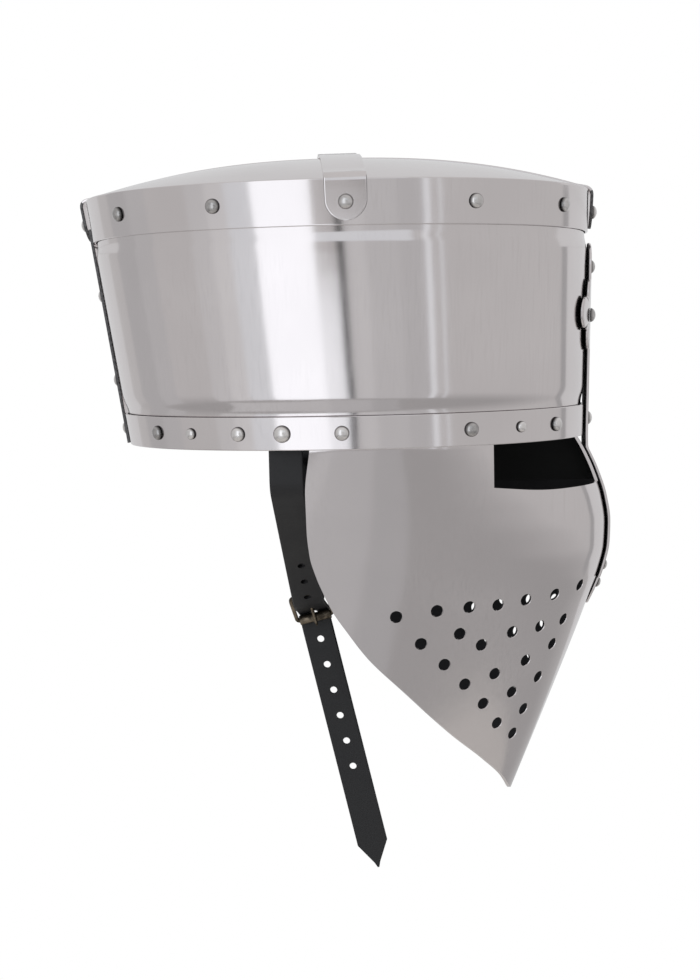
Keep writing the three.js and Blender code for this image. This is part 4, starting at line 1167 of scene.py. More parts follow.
def cross_outline(form):
    """The outline of the cross from the front, as (x, z) points in order round its middle."""
    s = form.straps
    half = s.cross_width / 2
    reach, tall = s.arm_reach, s.arm_height
    low, high = s.arm_centre - ARM_BAR["up"] * tall, s.arm_centre + ARM_BAR["up"] * tall
    foot, tongue = -s.cross_shoulder, s.tongue_width / 2
    boxes = [
        [(-half, foot), (half, foot), (half, s.cross_top - half), (-half, s.cross_top - half)],
        [(-ARM_BAR["out"] * reach, low), (ARM_BAR["out"] * reach, low),
         (ARM_BAR["out"] * reach, high), (-ARM_BAR["out"] * reach, high)],
        [(-tongue, foot + MM), (-tongue, foot - s.tongue_length / 2), (0, foot - s.tongue_length),
         (tongue, foot - s.tongue_length / 2), (tongue, foot + MM)],
    ]
    discs = [((0, s.cross_top - half), half)]
    for lobe in ARM_LOBES:
        for side in (RIGHT, LEFT):
            centre = (side * lobe["out"] * reach, s.arm_centre + lobe["up"] * tall)
            discs.append((centre, lobe["radius"] * tall))
    rims = [box_rim(box) for box in boxes] + [disc_rim(*disc) for disc in discs]
    inside = [inside_box(box) for box in boxes] + [inside_disc(*disc) for disc in discs]
    kept = []
    for i, rim in enumerate(rims):
        others = inside[:i] + inside[i + 1:]
        kept += [point for point in rim if not any(test(point) for test in others)]
    kept.sort(key=lambda p: math.atan2(p[0], s.arm_centre - p[1]))
    return kept


def box_rim(box, step=OUTLINE_STEP):
    """Points along the straight sides of an outline."""
    points = []
    for (ax, az), (bx, bz) in zip(box, box[1:] + box[:1]):
        steps = max(1, round(math.hypot(bx - ax, bz - az) / step))
        points += [(ax + (bx - ax) * k / steps, az + (bz - az) * k / steps) for k in range(steps)]
    return points


def disc_rim(centre, radius, step=OUTLINE_STEP):
    steps = round(2 * math.pi * radius / step)
    turns = [2 * math.pi * k / steps for k in range(steps)]
    return [(centre[0] + radius * math.cos(t), centre[1] + radius * math.sin(t)) for t in turns]


def inside_disc(centre, radius):
    """A test of whether a point lies inside a disc."""
    return lambda p: math.hypot(p[0] - centre[0], p[1] - centre[1]) < radius - TOUCHING


def inside_box(box):
    """A test of whether a point lies inside a convex outline."""

    def test(point):
        sides = []
        for (ax, az), (bx, bz) in zip(box, box[1:] + box[:1]):
            away = (bx - ax) * (point[1] - az) - (bz - az) * (point[0] - ax)
            sides.append(away / math.hypot(bx - ax, bz - az))
        return min(sides) > TOUCHING or max(sides) < -TOUCHING

    return test


def inset_outline(outline, distance):
    """The outline moved inwards, for a worn edge."""
    moved = []
    size = len(outline)
    for i, (x, z) in enumerate(outline):
        (ax, az), (bx, bz) = outline[i - 3], outline[(i + 3) % size]
        run = math.hypot(bx - ax, bz - az) or 1
        moved.append((x - (bz - az) / run * distance, z + (bx - ax) / run * distance))
    return moved


def filled(outline, step):
    """Triangles that fill an outline, with a grid of points inside it so that they follow a curved face."""
    xs, zs = [p[0] for p in outline], [p[1] for p in outline]
    grid = []
    for i in range(int((max(xs) - min(xs)) / step) + 1):
        for k in range(int((max(zs) - min(zs)) / step) + 1):
            grid.append(Vector((min(xs) + (i + 0.5) * step, min(zs) + (k + 0.5) * step)))
    rim = [Vector(p) for p in outline]
    edges = [(i, (i + 1) % len(rim)) for i in range(len(rim))]
    points, _, faces, _, _, _ = delaunay_2d_cdt(rim + grid, edges, [], 1, 1e-7)
    return points, faces


def front_cross(form, scene):
    """The cross laid on the front, with worn edges. Only the lowest ring of its rim, against the sheet, is
    painted dark as the shadow in the gap below it.
    """
    s, k = form.straps, form.skull
    outline = cross_outline(form)
    edge = k.edge_radius

    def laid(x, z, out):
        lift = s.cross_lift * min(1, abs(x) / (s.cross_width / 2))
        return Vector((x, form.front_at(x, z) - k.clearance - lift - out, z))

    # The third material is painted shadow for the gap under the cross's rim
    satin, inside, shadowed = 0, 1, 2
    vertices, faces, slots = [], [], []
    rims = []
    for inset, out in ((edge, 0), (0, edge), (0, k.wall - edge), (edge, k.wall)):
        rims.append(len(vertices))
        vertices += [laid(x, z, out) for x, z in inset_outline(outline, inset)]
    size = len(outline)
    for low, high in zip(rims, rims[1:]):
        for i in range(size):
            j = (i + 1) % size
            faces.append((low + i, low + j, high + j, high + i))
            slots.append(shadowed if low == rims[0] else satin)
    for out, slot in ((0, inside), (k.wall, satin)):
        points, triangles = filled(inset_outline(outline, edge), GRID_STEP)
        start = len(vertices)
        vertices += [laid(p.x, p.y, out) for p in points]
        faces += [tuple(start + i for i in triangle) for triangle in triangles]
        slots += [slot] * len(triangles)
    materials = sheet_materials(scene) + [material_of(scene, "cut_steel")]
    return mesh_piece("front_cross", vertices, faces, materials, slots)


# Straps


def swept(name, route, half_widths, thickness, across, edge, materials, gap_shadow_below=math.inf):
    """A strap whose middle runs along a route, with rounded edges.

    Its second material, a painted shadow of the gap beside the strap, is for its ends and its edges below a
    height. Above it they are polished too.
    """
    sections, outs = [], []
    for i, point in enumerate(route):
        along = (route[min(i + 1, len(route) - 1)] - route[max(i - 1, 0)]).normalized()
        wide = across(point)
        wide = (wide - along * wide.dot(along)).normalized()
        out = wide.cross(along)
        # A narrow end has less room for the rounding
        radius = min(edge, half_widths[i] * 0.7)
        corners = [(-1, 1), (1, 1), (1, -1), (-1, -1)]
        sections.append(eased([
            Corner(point + wide * (w * half_widths[i]) + out * (t * thickness / 2), radius, False)
            for w, t in corners
        ], 3))
        outs.append(out if point.z < gap_shadow_below else None)
    return loft(name, sections, False, materials, outs if len(materials) > 1 else None)


def round_ended(route, width, steps=12):
    """A route with close points at both ends, and the half widths that round its ends off."""
    half = width / 2
    # The outermost point is a little way in, so that the end has some width
    angles = [FRONT * max(k, 0.25) / steps for k in range(steps)]
    offsets = [half * (1 - math.cos(a)) for a in angles]
    narrow = [half * math.sin(a) for a in angles]
    first = [walk(route, offset)[0] for offset in offsets]
    last = [walk(route[::-1], offset)[0] for offset in offsets]
    start = route[0]
    finish = route[-1]
    middle = [p for p in route if (p - start).length > half and (p - finish).length > half]
    return first + middle + last[::-1], narrow + [half] * len(middle) + narrow[::-1]


def along_front(_point):
    return Vector((1, 0, 0))


def along_side(_point):
    return Vector((0, 1, 0))


def long_route(form):
    """From the rear of the flange over the dome to its front. The rear end lies on the rear strip."""
    s, k = form.straps, form.skull
    up = Vector((0, 0, form.on_sheet))
    steps, rim = 26, 0.96

    def half(turn, out):
        ahead = Vector((0, -1 if turn > 0 else 1, 0))
        foot = form.skull_point(turn, k.crown_height - s.end_drop) + ahead * out
        corner = form.skull_point(turn, k.crown_height) + ahead * (out + s.corner_standoff / 2) + up
        dome = [form.dome_point(turn, rim * (1 - i / steps)) + up for i in range(steps)]
        return [foot, corner] + dome

    rear = half(-FRONT, form.on_sheet + k.wall + k.clearance)
    front = half(FRONT, form.on_sheet)
    return rear + [form.dome_point(0, 0) + up] + front[::-1]


def side_route(form):
    """From the right of the flange over the dome, and over the long strap, to the left.

    In plan it is straight through the dome's middle, so its left half is its right half turned.
    """
    s, k = form.straps, form.skull
    section = form.skull_section(k.crown_height)
    turn = form.turn_of((section.middle - s.cross_at) / section.half_length, RIGHT)

    def edge(height, out):
        return Vector((form.skull_point(turn, height).x - out, s.cross_at, height))

    corner = edge(k.crown_height, form.on_sheet + s.corner_standoff / 2)
    corner.z += form.on_sheet + s.corner_standoff / 2
    near = s.width / 2 + 2 * k.wall
    far = 2 * near
    steps, rim = 20, 0.94
    outs = [rim * section.half_width * (1 - i / steps) for i in range(steps)]
    crest = []
    for out in outs + [0]:
        rise = min(1, max(0, (far - out) / (far - near)))
        smooth = rise * rise * (3 - 2 * rise)
        low, high = k.clearance / 2, k.wall + 2 * k.clearance
        y = section.middle + (s.cross_at - section.middle) * out / -corner.x
        height = form.dome_height(form.dome_reach(out, y)) + form.on_sheet + low + (high - low) * smooth
        crest.append(Vector((-out, y, height)))
    half = [edge(k.crown_height - s.end_drop, form.on_sheet), corner] + crest
    return half + [Vector((-p.x, 2 * section.middle - p.y, p.z)) for p in reversed(half[:-1])]


def rear_route(form):
    """Up the seam at the back of the drum."""

    def at(height):
        section = form.skull_section(height)
        return Vector((0, section.middle + section.half_length + form.on_sheet, height))

    return [at(0), at(form.skull.crown_height - form.straps.rear_below_corner)]


# Rivets


def side_rivets(form, sizes, rows, height):
    """The rivets of a band at one height, on both sides."""
    for side in (RIGHT, LEFT):
        for row in rows:
            turn = form.turn_of(row["forward"], side)
            outward = form.outward(form.skull_point, turn, height)
            foot = form.skull_point(turn, height) + outward * form.skull.clearance
            yield Spot(foot, outward, getattr(sizes, row["kind"]))


def strap_rivet(form, sizes, route, distance, across):
    """A rivet on a strap, at a distance from its start."""
    point, along = walk(route, distance)
    outward = across.cross(along).normalized()
    if outward.dot(point) < 0:
        outward = -outward
    return Spot(point + outward * form.on_sheet, outward, sizes.diameter)


def strap_rivets(form, sizes):
    """One rivet at each end of the crown straps, and those of the rear strip."""
    from_end = form.straps.end_drop - form.skull.flange_height / 2
    ahead, aside = Vector((1, 0, 0)), Vector((0, 1, 0))
    for route, across in ((long_route(form), ahead), (side_route(form), aside)):
        yield strap_rivet(form, sizes, route, from_end, across)
        yield strap_rivet(form, sizes, route[::-1], from_end, across)
    route = rear_route(form)
    for up in REAR_RIVETS:
        yield strap_rivet(form, sizes, route, up * route[1].z, ahead)


def cross_rivets(form, sizes):
    """The rivets of the front cross, by distance from the middle line, height and width."""
    s, k = form.straps, form.skull
    rows = [
        (0, s.cross_top - s.cross_width / 2, sizes.diameter),
        (-0.8 * s.cross_width, s.arm_centre, sizes.diameter),
        (0.8 * s.cross_width, s.arm_centre, sizes.diameter),
        (0, k.band_height / 2, sizes.diameter),
        (0, sizes.small_diameter - s.cross_shoulder, sizes.small_diameter),
        (0, -s.cross_shoulder - s.tongue_length / 4, sizes.small_diameter),
    ]
    for x, height, width in rows:
        lift = s.cross_lift * min(1, abs(x) / (s.cross_width / 2))
        across = Vector((2 * MM, form.front_at(x + MM, height) - form.front_at(x - MM, height), 0))
        up = Vector((0, form.front_at(x, height + MM) - form.front_at(x, height - MM), 2 * MM))
        outward = across.cross(up).normalized()
        foot = Vector((x, form.front_at(x, height) - k.clearance - k.wall - lift, height))
        yield Spot(foot + outward * k.clearance, outward, width)


# Chin strap and buckle


class Chin:
    """Works out the chin strap's routes and the buckle's place from the sizes in the sidebar."""

    def __init__(self, scene):
        self.form = Form(scene)
        self.strap = scene.helmet_chin
        self.buckle = scene.helmet_buckle
        b = self.buckle
        self.hinge = Vector((b.hinge_x, b.hinge_y, b.hinge_z))
        self.down = Vector((0, -math.sin(b.lean), -math.cos(b.lean)))
        self.along = Vector((math.cos(b.slope), 0, 0)) + self.down * math.sin(b.slope)
        self.wide = Vector((0, math.cos(b.lean), -math.sin(b.lean)))
        self.out = self.wide.cross(self.along)
        self.gap = self.form.skull.clearance
        self.fold_radius = b.bar * math.sqrt(0.5) + self.gap + self.strap.leather / 2

    def at(self, along, out, wide=0):
        """A place in the buckle, from its hinge bar's middle."""
        return self.hinge + self.along * along + self.out * out + self.wide * wide

    def across(self, point):
        """The direction across the strap: square to the wearer at the drum, with the buckle's lean below."""
        settled = self.hinge.z + self.strap.fold_length / 2
        share = min(1, max(0, (point.z + self.strap.bend) / (settled + self.strap.bend)))
        return Vector((0, 1, 0)).lerp(self.wide, share)

    def top(self, side):
        """The strap's end inside the drum, and the bend below the brow."""
        s, k = self.strap, self.form.skull
        front = self.form.face.rear_edge + 2 * k.clearance
        inset = self.form.joggle + k.wall + k.clearance
        inside = self.form.side_of(self.form.skull_section(0), front + s.width, inset)
        x, y = side * (inside - s.leather / 2), front + s.width / 2
        return [Vector((x, y, s.top)), Vector((x, y, -s.bend))]

    def right_route(self):
        """Over the hinge bar, behind the roller and straight down."""
        s, b = self.strap, self.buckle
        over_hinge = self.fold_radius + s.leather + self.gap + s.slack
        behind_roller = b.roller_diameter / 2 + self.gap + s.leather / 2
        roller = self.at(b.reach, -behind_roller - s.slack)
        hang = self.at(b.reach, 0) + Vector((behind_roller + s.slack / 2, 0, -b.roller_diameter / 2))
        tip = hang + self.down * s.tail_length
        return rounded(self.top(RIGHT) + [self.at(0, over_hinge), roller, hang, tip], s.bend_radius)

    def left_route(self):
        """The way down the far side, round the hinge bar and back on itself, and which way the fold lies."""
        s = self.strap
        top, bend = self.top(LEFT)
        back = bend - self.hinge
        back = (back - self.wide * back.dot(self.wide)).normalized()
        up = self.wide.cross(back)
        above = up if up.z > 0 else -up

        def beside(distance, rise):
            return self.hinge + back * distance + above * rise

        arc = []
        steps = 12
        for k in range(steps + 1):
            turn = FRONT + math.pi * k / steps
            arc.append(beside(self.fold_radius * math.cos(turn), self.fold_radius * math.sin(turn)))
        closed = self.fold_radius - s.leather - self.gap
        lead = rounded([top, bend, beside(s.fold_length, self.fold_radius)], s.bend_radius)
        return lead + arc + [beside(s.fold_length / 2, closed), beside(s.fold_length, closed)], above

    def prong_line(self):
        """Where the prong starts, its direction and its length."""
        b = self.buckle
        rest = b.roller_diameter / 2 + self.gap + b.prong_diameter / 2
        tip = self.at(b.reach, rest)
        along = (tip - self.hinge).normalized()
        return self.hinge, along, (tip - self.hinge).length + b.past_roller


def pin_piece(name, start, along, distance, profile, materials, sides=20):
    """A round pin from a profile of (share of its length, radius)."""
    side = along.orthogonal().normalized()
    other = along.cross(side)
    sections = []
    for share, radius in profile:
        middle = start + along * (distance * share)
        turns = [2 * math.pi * i / sides for i in range(sides)]
        ring = [middle + side * (radius * math.cos(t)) + other * (radius * math.sin(t)) for t in turns]
        sections.append([Corner(point, 0, False) for point in ring])
    return loft(name, sections, False, materials)


def strap_holes(chin, route, punched_from, counts):
    """The punched holes, each a number of pitches along the strap from the prong's own."""
    s = chin.strap
    for step in counts:
        point, along = walk(route, punched_from + step * s.hole_pitch)
        wide = chin.across(point)
        wide = (wide - along * wide.dot(along)).normalized()
        outward = along.cross(wide)
        if outward.x > 0:
            outward = -outward
        yield Spot(point + outward * (s.leather / 2), outward, s.hole_diameter)


def right_strap(chin, scene):
    """The strap with the punched holes and the pointed tail."""
    s, b = chin.strap, chin.buckle
    blunt = 0.06
    route = chin.right_route()
    tip = route[-1]
    shoulder = tip - chin.down * s.tail_point
    points = stepped(route[:-1] + [shoulder, tip], s.step)
    half_widths = [s.width / 2 * min(1, max(blunt, (p - tip).length / s.tail_point)) for p in points]
    leather = material_of(scene, "black_leather")
    piece = swept("chin_strap_right", points, half_widths, s.leather, chin.across, s.edge_radius, [leather])
    start, along, distance = chin.prong_line()
    prong_hole = distance_to(points, start + along * b.prong_hole_at)
    counts = [step for step in range(-s.holes_above, s.holes_below + 1) if step != 0]
    holes = list(strap_holes(chin, points, prong_hole, counts))
    punch(piece, holes, depth=4 * s.leather, chamfer=s.hole_chamfer, sides=20, material=leather)
    radius = b.prong_diameter / 2 + b.slot_clearance
    carve(piece, pin_piece("cutter", start, along, distance, [(0, radius), (1, radius)], []))
    return piece


def left_strap(chin, scene):
    """The strap that is folded round the hinge bar, with room for the prong's ring."""
    s, b = chin.strap, chin.buckle
    route, above = chin.left_route()
    points = stepped(route, s.step)
    leather = material_of(scene, "black_leather")
    half_widths = [s.width / 2] * len(points)
    piece = swept("chin_strap_left", points, half_widths, s.leather, chin.across, s.edge_radius, [leather])
    long = b.ring_diameter + 4 * s.leather
    wide = b.ring_width + 2 * b.slot_clearance
    carve(piece, block_piece(chin, wide, long))
    point = fold_rivet_place(chin, route, above)
    shank = s.hole_diameter / 2
    deep = 4 * s.leather
    start = point - above * deep / 2
    carve(piece, pin_piece("cutter", start, above, deep, [(0, shank), (1, shank)], []))
    return piece


def block_piece(chin, wide, long):
    """A cutter round the hinge bar, where the prong's ring has room."""
    corners = [(x, y) for x, y in ((-1, -1), (1, -1), (1, 1), (-1, 1))]
    low = [chin.at(y * long / 2, -long / 2, x * wide / 2) for x, y in corners]
    high = [chin.at(y * long / 2, long / 2, x * wide / 2) for x, y in corners]
    faces = [(0, 1, 2, 3), (4, 5, 6, 7)] + [(i, (i + 1) % 4, 4 + (i + 1) % 4, 4 + i) for i in range(4)]
    return mesh_piece("cutter", low + high, faces, [])


def fold_rivet_place(chin, route, above):
    """The middle of the fold's two layers, half way along its end."""
    half = (chin.strap.leather + chin.gap) / 2
    return (route[-2] + route[-1]) / 2 + above * half


def fold_rivet(chin, scene):
    """A shank through the fold with a head on each side."""
    s, sizes = chin.strap, scene.helmet_rivets
    route, above = chin.left_route()
    point = fold_rivet_place(chin, route, above)
    thick = s.leather / 2
    stack = 2 * s.leather + 3 * chin.gap
    long = stack + 2 * thick
    shank = s.hole_diameter / 2 - chin.buckle.slot_clearance
    head = sizes.small_diameter / 2
    profile = [(rise * thick / long, head * share) for rise, share in STUD_CURVE]
    profile.append((thick / long + 1e-4, shank))
    profile += [(1 - share, radius) for share, radius in reversed(profile)]
    start = point - above * long / 2
    return pin_piece("strap_rivet", start, above, long, profile, [material_of(scene, "rivet_steel")], 24)


def buckle_frame(chin, scene):
    """A closed ring of rounded bar."""
    b = chin.buckle
    inner = chin.strap.width / 2 + b.side_gap
    side, near, far = inner + b.bar / 2, 0, b.reach
    corners = [Vector((x, y, 0)) for x, y in ((-side, near), (side, near), (side, far), (-side, far))]
    path = []
    for i, corner in enumerate(corners):
        path += bend_points(corners[i - 1], corner, corners[(i + 1) % 4], b.corner_radius, 6)
    sections = []
    for i, point in enumerate(path):
        run = (path[(i + 1) % len(path)] - path[i - 1]).normalized()
        over = Vector((run.y, -run.x, 0))
        half = b.bar / 2
        shape = [
            Corner(point + over * (w * half) + Vector((0, 0, h * half)), b.bar_rounding, False)
            for w, h in ((-1, 1), (1, 1), (1, -1), (-1, -1))
        ]
        sections.append([
            Corner(chin.at(c.point.y, c.point.z, c.point.x), 0, False) for c in eased(shape, 3)
        ])
    return loft("buckle_frame", sections, True, [material_of(scene, "aged_brass")])


def tube_piece(name, chin, centre, outer, bore, wide, materials, edge=0.2 * MM, steps=40):
    """A short tube round an axis across the buckle."""
    sections = []
    for i in range(steps):
        turn = 2 * math.pi * i / steps
        reach = chin.along * math.cos(turn) + chin.out * math.sin(turn)
        shape = [(-wide / 2, outer), (wide / 2, outer), (wide / 2, bore), (-wide / 2, bore)]
        corners = [Corner(centre + chin.wide * w + reach * r, edge, False) for w, r in shape]
        sections.append(eased(corners, 3))
    return loft(name, sections, True, materials)


def buckle_roller(chin, scene):
    """The tube that turns on the frame's lower bar."""
    b = chin.buckle
    wide = chin.strap.width + 2 * b.side_gap - 2 * chin.gap
    outer = b.roller_diameter / 2
    bore = outer - b.roller_wall
    brass = [material_of(scene, "aged_brass")]
    return tube_piece("buckle_roller", chin, chin.at(b.reach, 0), outer, bore, wide, brass)


def buckle_prong(chin, scene):
    """A ring round the hinge bar with a pin that rests on the roller."""
    b = chin.buckle
    brass = [material_of(scene, "aged_brass")]
    outer = b.ring_diameter / 2
    bore = b.roller_diameter / 2 - b.roller_wall
    ring = tube_piece("buckle_prong", chin, chin.hinge, outer, bore, b.ring_width, brass)
    start, along, distance = chin.prong_line()
    radius = b.prong_diameter / 2
    begin = start + along * (bore + outer) / 2
    left = distance - (bore + outer) / 2
    profile = [(share, radius * thick) for share, thick in PRONG_CURVE]
    pin = pin_piece("prong_pin", begin, along, left, profile, brass)
    modifier = ring.modifiers.new("pin", "BOOLEAN")
    modifier.operation = "UNION"
    modifier.solver = "EXACT"
    modifier.object = pin
    applied(ring)
    remove(pin)
    tidy(ring)
    return ring


# Operators


class HELMET_OT_top_cap(bpy.types.Operator):
    """Build the domed top plate with its turned-down flange"""

    bl_idname = "helmet.top_cap"
    bl_label = "Top cap"

    def execute(self, context):
        form = Form(context.scene)
        piece = ring_piece("top_cap_sheet", form, cap_corners(form), context.scene)
        place(piece, "steel", "top_cap")
        return {"FINISHED"}


class HELMET_OT_skull_drum(bpy.types.Operator):
    """Build the flaring wall of the skull"""

    bl_idname = "helmet.skull_drum"
    bl_label = "Skull drum"

    def execute(self, context):
        form = Form(context.scene)
        piece = ring_piece("skull_drum_sheet", form, wall_corners(form, drum_rows(form)), context.scene)
        place(piece, "steel", "skull_drum")
        return {"FINISHED"}


class HELMET_OT_brow_band(bpy.types.Operator):
    """Build the band round the lower edge of the skull"""

    bl_idname = "helmet.brow_band"
    bl_label = "Brow band"

    def execute(self, context):
        form = Form(context.scene)
        rows = [(0, 0, 0), (form.skull.band_height, 0, 0)]
        piece = ring_piece("brow_band_sheet", form, wall_corners(form, rows), context.scene)
        place(piece, "steel", "brow_band")
        return {"FINISHED"}


class HELMET_OT_face_plate(bpy.types.Operator):
    """Build the face plate and punch its eye slots and breath holes"""

    bl_idname = "helmet.face_plate"
    bl_label = "Face plate"

    def execute(self, context):
        form = Form(context.scene)
        piece = loft("face_plate_sheet", list(face_sections(form)), False, sheet_materials(context.scene))
        for side in (RIGHT, LEFT):
            carve(piece, eye_slot(form, side))
        # The breath holes' walls get the black inside finish as painted shade in the holes
        lining = material_of(context.scene, "blackened_steel")
        depth, chamfer = 8 * form.skull.wall, form.face.hole_chamfer
        punch(piece, list(breath_holes(form)), depth, chamfer, sides=40, material=lining)
        place(piece, "steel", "face_plate")
        return {"FINISHED"}


class HELMET_OT_front_cross(bpy.types.Operator):
    """Build the strap down the front with its two arms and its nasal bar"""

    bl_idname = "helmet.front_cross"
    bl_label = "Front cross"

    def execute(self, context):
        piece = front_cross(Form(context.scene), context.scene)
        piece.name = "front_cross_sheet"
        place(piece, "steel", "front_cross")
        return {"FINISHED"}


class HELMET_OT_steel_straps(bpy.types.Operator):
    """Build the two crown straps and the rear strip"""

    bl_idname = "helmet.steel_straps"
    bl_label = "Steel straps"

    def execute(self, context):
        form = Form(context.scene)
        s, k = form.straps, form.skull
        steel = [material_of(context.scene, "satin_steel"), material_of(context.scene, "cut_steel")]
        routes = (
            ("crown_strap_long", long_route(form), along_front),
            ("crown_strap_cross", side_route(form), along_side),
        )
        for name, route, across in routes:
            smooth = rounded(route[:3], s.bend_radius) + route[3:-3] + rounded(route[-3:], s.bend_radius)
            points, half_widths = round_ended(smooth, s.width)
            # The straps' ends and their edges below the flange's top get the painted shadow of their gap
            piece = swept(
                name + "_bar", points, half_widths, k.wall, across, k.edge_radius, steel,
                gap_shadow_below=k.crown_height,
            )
            place(piece, "steel", name)
        route = stepped(rear_route(form), s.step)
        half_widths = [s.rear_width / 2] * len(route)
        # The rear strip's edges get the painted shadow of its gap all the way up
        piece = swept("rear_strip_bar", route, half_widths, k.wall, along_front, k.edge_radius, steel)
        place(piece, "steel", "rear_strip")
        return {"FINISHED"}


class HELMET_OT_rivets(bpy.types.Operator):
    """Set a domed head at each rivet's place"""

    bl_idname = "helmet.rivets"
    bl_label = "Rivets"

    def execute(self, context):
        form, sizes = Form(context.scene), context.scene.helmet_rivets
        k = form.skull
        flange = list(side_rivets(form, sizes, FLANGE_RIVETS, form.flange_foot + k.flange_height / 2))
        brow = list(side_rivets(form, sizes, BROW_RIVETS, k.band_height / 2))
        groups = {
            "flange_rivet": (flange, "flange_rivet_"),
            "brow_rivet": (brow, "brow_rivet_"),
            "strap_rivet_set": (list(strap_rivets(form, sizes)), ("crown_rivet_", "rear_rivet_")),
            "cross_rivet_set": (list(cross_rivets(form, sizes)), "cross_rivet_"),
        }
        for name, (rivets, prefixes) in groups.items():
            nodes = [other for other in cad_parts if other.startswith(prefixes)]
            if len(nodes) != len(rivets):
                raise RuntimeError(f"{name} has {len(rivets)} heads for {len(nodes)} nodes")
            piece = points_piece(name + "_heads", rivets)
            with_nodes(
                piece, "rivet_heads",
                Proportion=sizes.proportion, Segments=sizes.segments, Rings=sizes.rings,
                Material=material_of(context.scene, "rivet_steel"),
            )
            tidy(piece)
            place(piece, "steel", *nodes)
        return {"FINISHED"}


class HELMET_OT_chin_straps(bpy.types.Operator):
    """Build the two leather straps and the rivet that closes the fold"""

    bl_idname = "helmet.chin_straps"
    bl_label = "Chin straps"

    def execute(self, context):
        chin = Chin(context.scene)
        for make, name in ((right_strap, "chin_strap_right"), (left_strap, "chin_strap_left")):
            piece = make(chin, context.scene)
            piece.name = name + "_leather"
            place(piece, "leather", name)
        piece = fold_rivet(chin, context.scene)
        piece.name = "strap_rivet_stud"
        place(piece, "steel", "strap_rivet")
        return {"FINISHED"}


class HELMET_OT_buckle(bpy.types.Operator):
    """Build the buckle's frame, roller and prong"""

    bl_idname = "helmet.buckle"
    bl_label = "Buckle"

    def execute(self, context):
        chin = Chin(context.scene)
        for make, name in (
            (buckle_frame, "buckle_frame"), (buckle_roller, "buckle_roller"), (buckle_prong, "buckle_prong")
        ):
            piece = make(chin, context.scene)
            piece.name = name + "_brass"
            place(piece, "buckle_metal", name)
        return {"FINISHED"}


# Stage


def around(degrees, distance, height):
    """A place round the helmet: 0 is the wearer's right, and more is towards the rear."""
    turn = math.radians(degrees)
    return Vector((-distance * math.cos(turn), distance * math.sin(turn), height))


def stage_sheet(name, corners, material):
    """A flat sheet of the studio."""
    mesh = bpy.data.meshes.new(name)
    mesh.from_pydata([tuple(p) for p in corners], [], [tuple(range(len(corners)))])
    mesh.materials.append(material)
    piece = bpy.data.objects.new(name, mesh)
    bpy.context.scene.collection.objects.link(piece)
    return piece


def lit_card(row, distance):
    """An upright card that shines evenly, and that the camera doesn't see."""
    low, high = (distance * math.tan(math.radians(row[key])) for key in ("low", "high"))
    corners = [
        around(row["start"], distance, low),
        around(row["end"], distance, low),
        around(row["end"], distance, high),
        around(row["start"], distance, high),
    ]
    material = new_material(row["name"])
    tree = material.node_tree
    tint = COOL_LIGHT if row["light"] > BRIGHT else GREY_LIGHT
    shine = node(tree, "ShaderNodeEmission", {"Color": tint, "Strength": row["light"]})
    node(tree, "ShaderNodeOutputMaterial", {"Surface": shine.outputs[0]})
    stage_sheet(row["name"], corners, material).visible_camera = False


def studio_world(scene):
    """A grey studio that is darker below, in front of a white ground."""
    world = bpy.data.worlds.new("studio")
    world.use_nodes = True
    tree = world.node_tree
    tree.nodes.clear()
    ways = node(tree, "ShaderNodeTexCoord").outputs["Generated"]
    rise = node(tree, "ShaderNodeSeparateXYZ", {0: ways}).outputs["Z"]
    ramp = node(tree, "ShaderNodeValToRGB", {0: ranged(tree, rise, 0, 1, -1, 1)})
    stops = ramp.color_ramp.elements
    while len(stops) < len(STUDIO_GREYS):
        stops.new(1)
    for stop, row in zip(stops, STUDIO_GREYS):
        stop.position = (row["rise"] + 1) / 2
        stop.color = (row["grey"], row["grey"], row["grey"], 1)
    brightness = scene.helmet_stage.surround
    studio = node(tree, "ShaderNodeBackground", {"Color": ramp.outputs[0], "Strength": brightness})
    ground = node(tree, "ShaderNodeBackground", {"Color": (1, 1, 1, 1), "Strength": 1.0})
    seen = node(tree, "ShaderNodeLightPath").outputs["Is Camera Ray"]
    both = {0: seen, 1: studio.outputs[0], 2: ground.outputs[0]}
    mix = node(tree, "ShaderNodeMixShader", both).outputs[0]
    node(tree, "ShaderNodeOutputWorld", {"Surface": mix})
    scene.world = world


def floor(scene, steps=96):
    """A round pale floor far below the helmet."""
    s = scene.helmet_stage
    rim = [around(-360 * i / steps, s.floor_radius, s.floor_height) for i in range(steps)]
    material = new_material("pale_floor")
    finish_material(material.node_tree, {"Base Color": FLOOR_COLOUR, "Roughness": 0.9})
    stage_sheet("floor", rim, material)


def slot_flag(form, steps=8):
    """A black card between the eye slots, put there as painted shade so that the white ground doesn't show
    through both of them.
    """
    face = form.face
    clear = form.skull.wall + form.skull.clearance
    depths = [face.slot_front_depth * i / steps for i in range(steps + 1)]
    fronts = [form.front_of(form.face_section(depth / face.drop), 0) + clear for depth in depths]
    front = [(0, y, -depth) for y, depth in zip(fronts, depths)]
    rear = [(0, face.slot_rear_edge + face.slot_run, height) for height in (-depths[-1], 0)]
    material = new_material("black_card")
    finish_material(material.node_tree, {"Base Color": CARD_BLACK, "Roughness": 1.0})
    stage_sheet("slot_flag", front + rear, material)


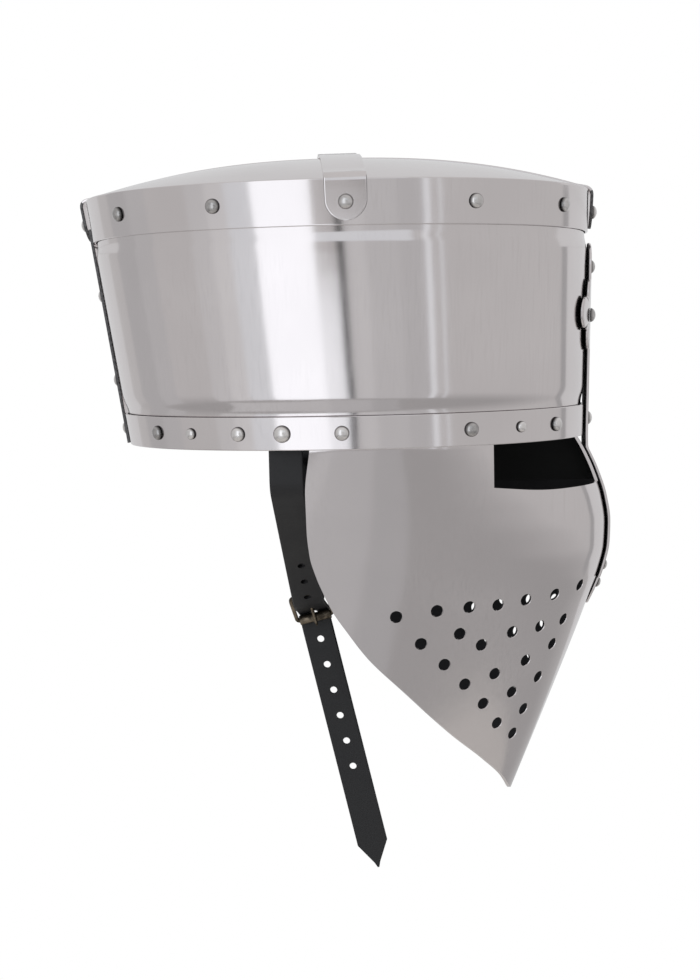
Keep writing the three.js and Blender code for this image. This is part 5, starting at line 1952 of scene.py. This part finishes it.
def photo_camera(scene):
    """The photograph's view: from the wearer's right and a little above, turned slightly to the front."""
    yaw, pitch, roll = (math.radians(turn) for turn in (CAMERA_YAW, CAMERA_PITCH, CAMERA_ROLL))
    ahead = Vector((math.cos(yaw), math.sin(yaw), 0))
    right = Vector((math.sin(yaw), -math.cos(yaw), 0))
    forward = ahead * math.cos(pitch) - Vector((0, 0, math.sin(pitch)))
    up = Vector((0, 0, math.cos(pitch))) + ahead * math.sin(pitch)
    x_axis = right * math.cos(roll) - up * math.sin(roll)
    y_axis = up * math.cos(roll) + right * math.sin(roll)
    data = bpy.data.cameras.new("camera")
    data.lens, data.sensor_width = CAMERA_LENS, FILM_WIDTH
    camera = bpy.data.objects.new("camera", data)
    scene.collection.objects.link(camera)
    turned = Matrix((x_axis, y_axis, -forward)).transposed().to_4x4()
    camera.matrix_world = Matrix.Translation(CAMERA_PLACE) @ turned
    scene.camera = camera


class HELMET_OT_stage(bpy.types.Operator):
    """Set up the floor, the lights and the camera"""

    bl_idname = "helmet.stage"
    bl_label = "Stage"

    def execute(self, context):
        scene = context.scene
        studio_world(scene)
        floor(scene)
        slot_flag(Form(scene))
        for row in STUDIO_CARDS:
            lit_card(row, scene.helmet_stage.card_distance)
        photo_camera(scene)
        scene.view_settings.view_transform = "Standard"
        scene.view_settings.look = "None"
        return {"FINISHED"}


class HELMET_PT_sidebar(bpy.types.Panel):
    """The helmet's pieces"""

    bl_label = "Helmet"
    bl_idname = "HELMET_PT_sidebar"
    bl_space_type = "VIEW_3D"
    bl_region_type = "UI"
    bl_category = "Helmet"

    def draw(self, context):
        for operator in OPERATORS:
            self.layout.operator(operator.bl_idname)
        for name in GROUPS:
            settings = getattr(context.scene, name)
            box = self.layout.box()
            for key in settings.bl_rna.properties.keys():
                if key not in ("rna_type", "name"):
                    box.prop(settings, key)


GROUPS = {
    "helmet_skull": SkullSizes,
    "helmet_face": FaceSizes,
    "helmet_straps": StrapSizes,
    "helmet_rivets": RivetSizes,
    "helmet_chin": ChinStrapSizes,
    "helmet_buckle": BuckleSizes,
    "helmet_finishes": Finishes,
    "helmet_stage": StageSettings,
}
OPERATORS = [
    HELMET_OT_top_cap,
    HELMET_OT_skull_drum,
    HELMET_OT_brow_band,
    HELMET_OT_face_plate,
    HELMET_OT_front_cross,
    HELMET_OT_steel_straps,
    HELMET_OT_rivets,
    HELMET_OT_chin_straps,
    HELMET_OT_buckle,
    HELMET_OT_stage,
]


def register():
    for group in GROUPS.values():
        bpy.utils.register_class(group)
    for name, group in GROUPS.items():
        setattr(bpy.types.Scene, name, bpy.props.PointerProperty(type=group))
    for operator in OPERATORS:
        bpy.utils.register_class(operator)
    bpy.utils.register_class(HELMET_PT_sidebar)


def unregister():
    bpy.utils.unregister_class(HELMET_PT_sidebar)
    for operator in reversed(OPERATORS):
        bpy.utils.unregister_class(operator)
    for name, group in reversed(GROUPS.items()):
        delattr(bpy.types.Scene, name)
        bpy.utils.unregister_class(group)


def main():
    register()
    for operator in OPERATORS:
        getattr(bpy.ops.helmet, operator.bl_idname.removeprefix("helmet."))()


if __name__ == "__main__":
    main()
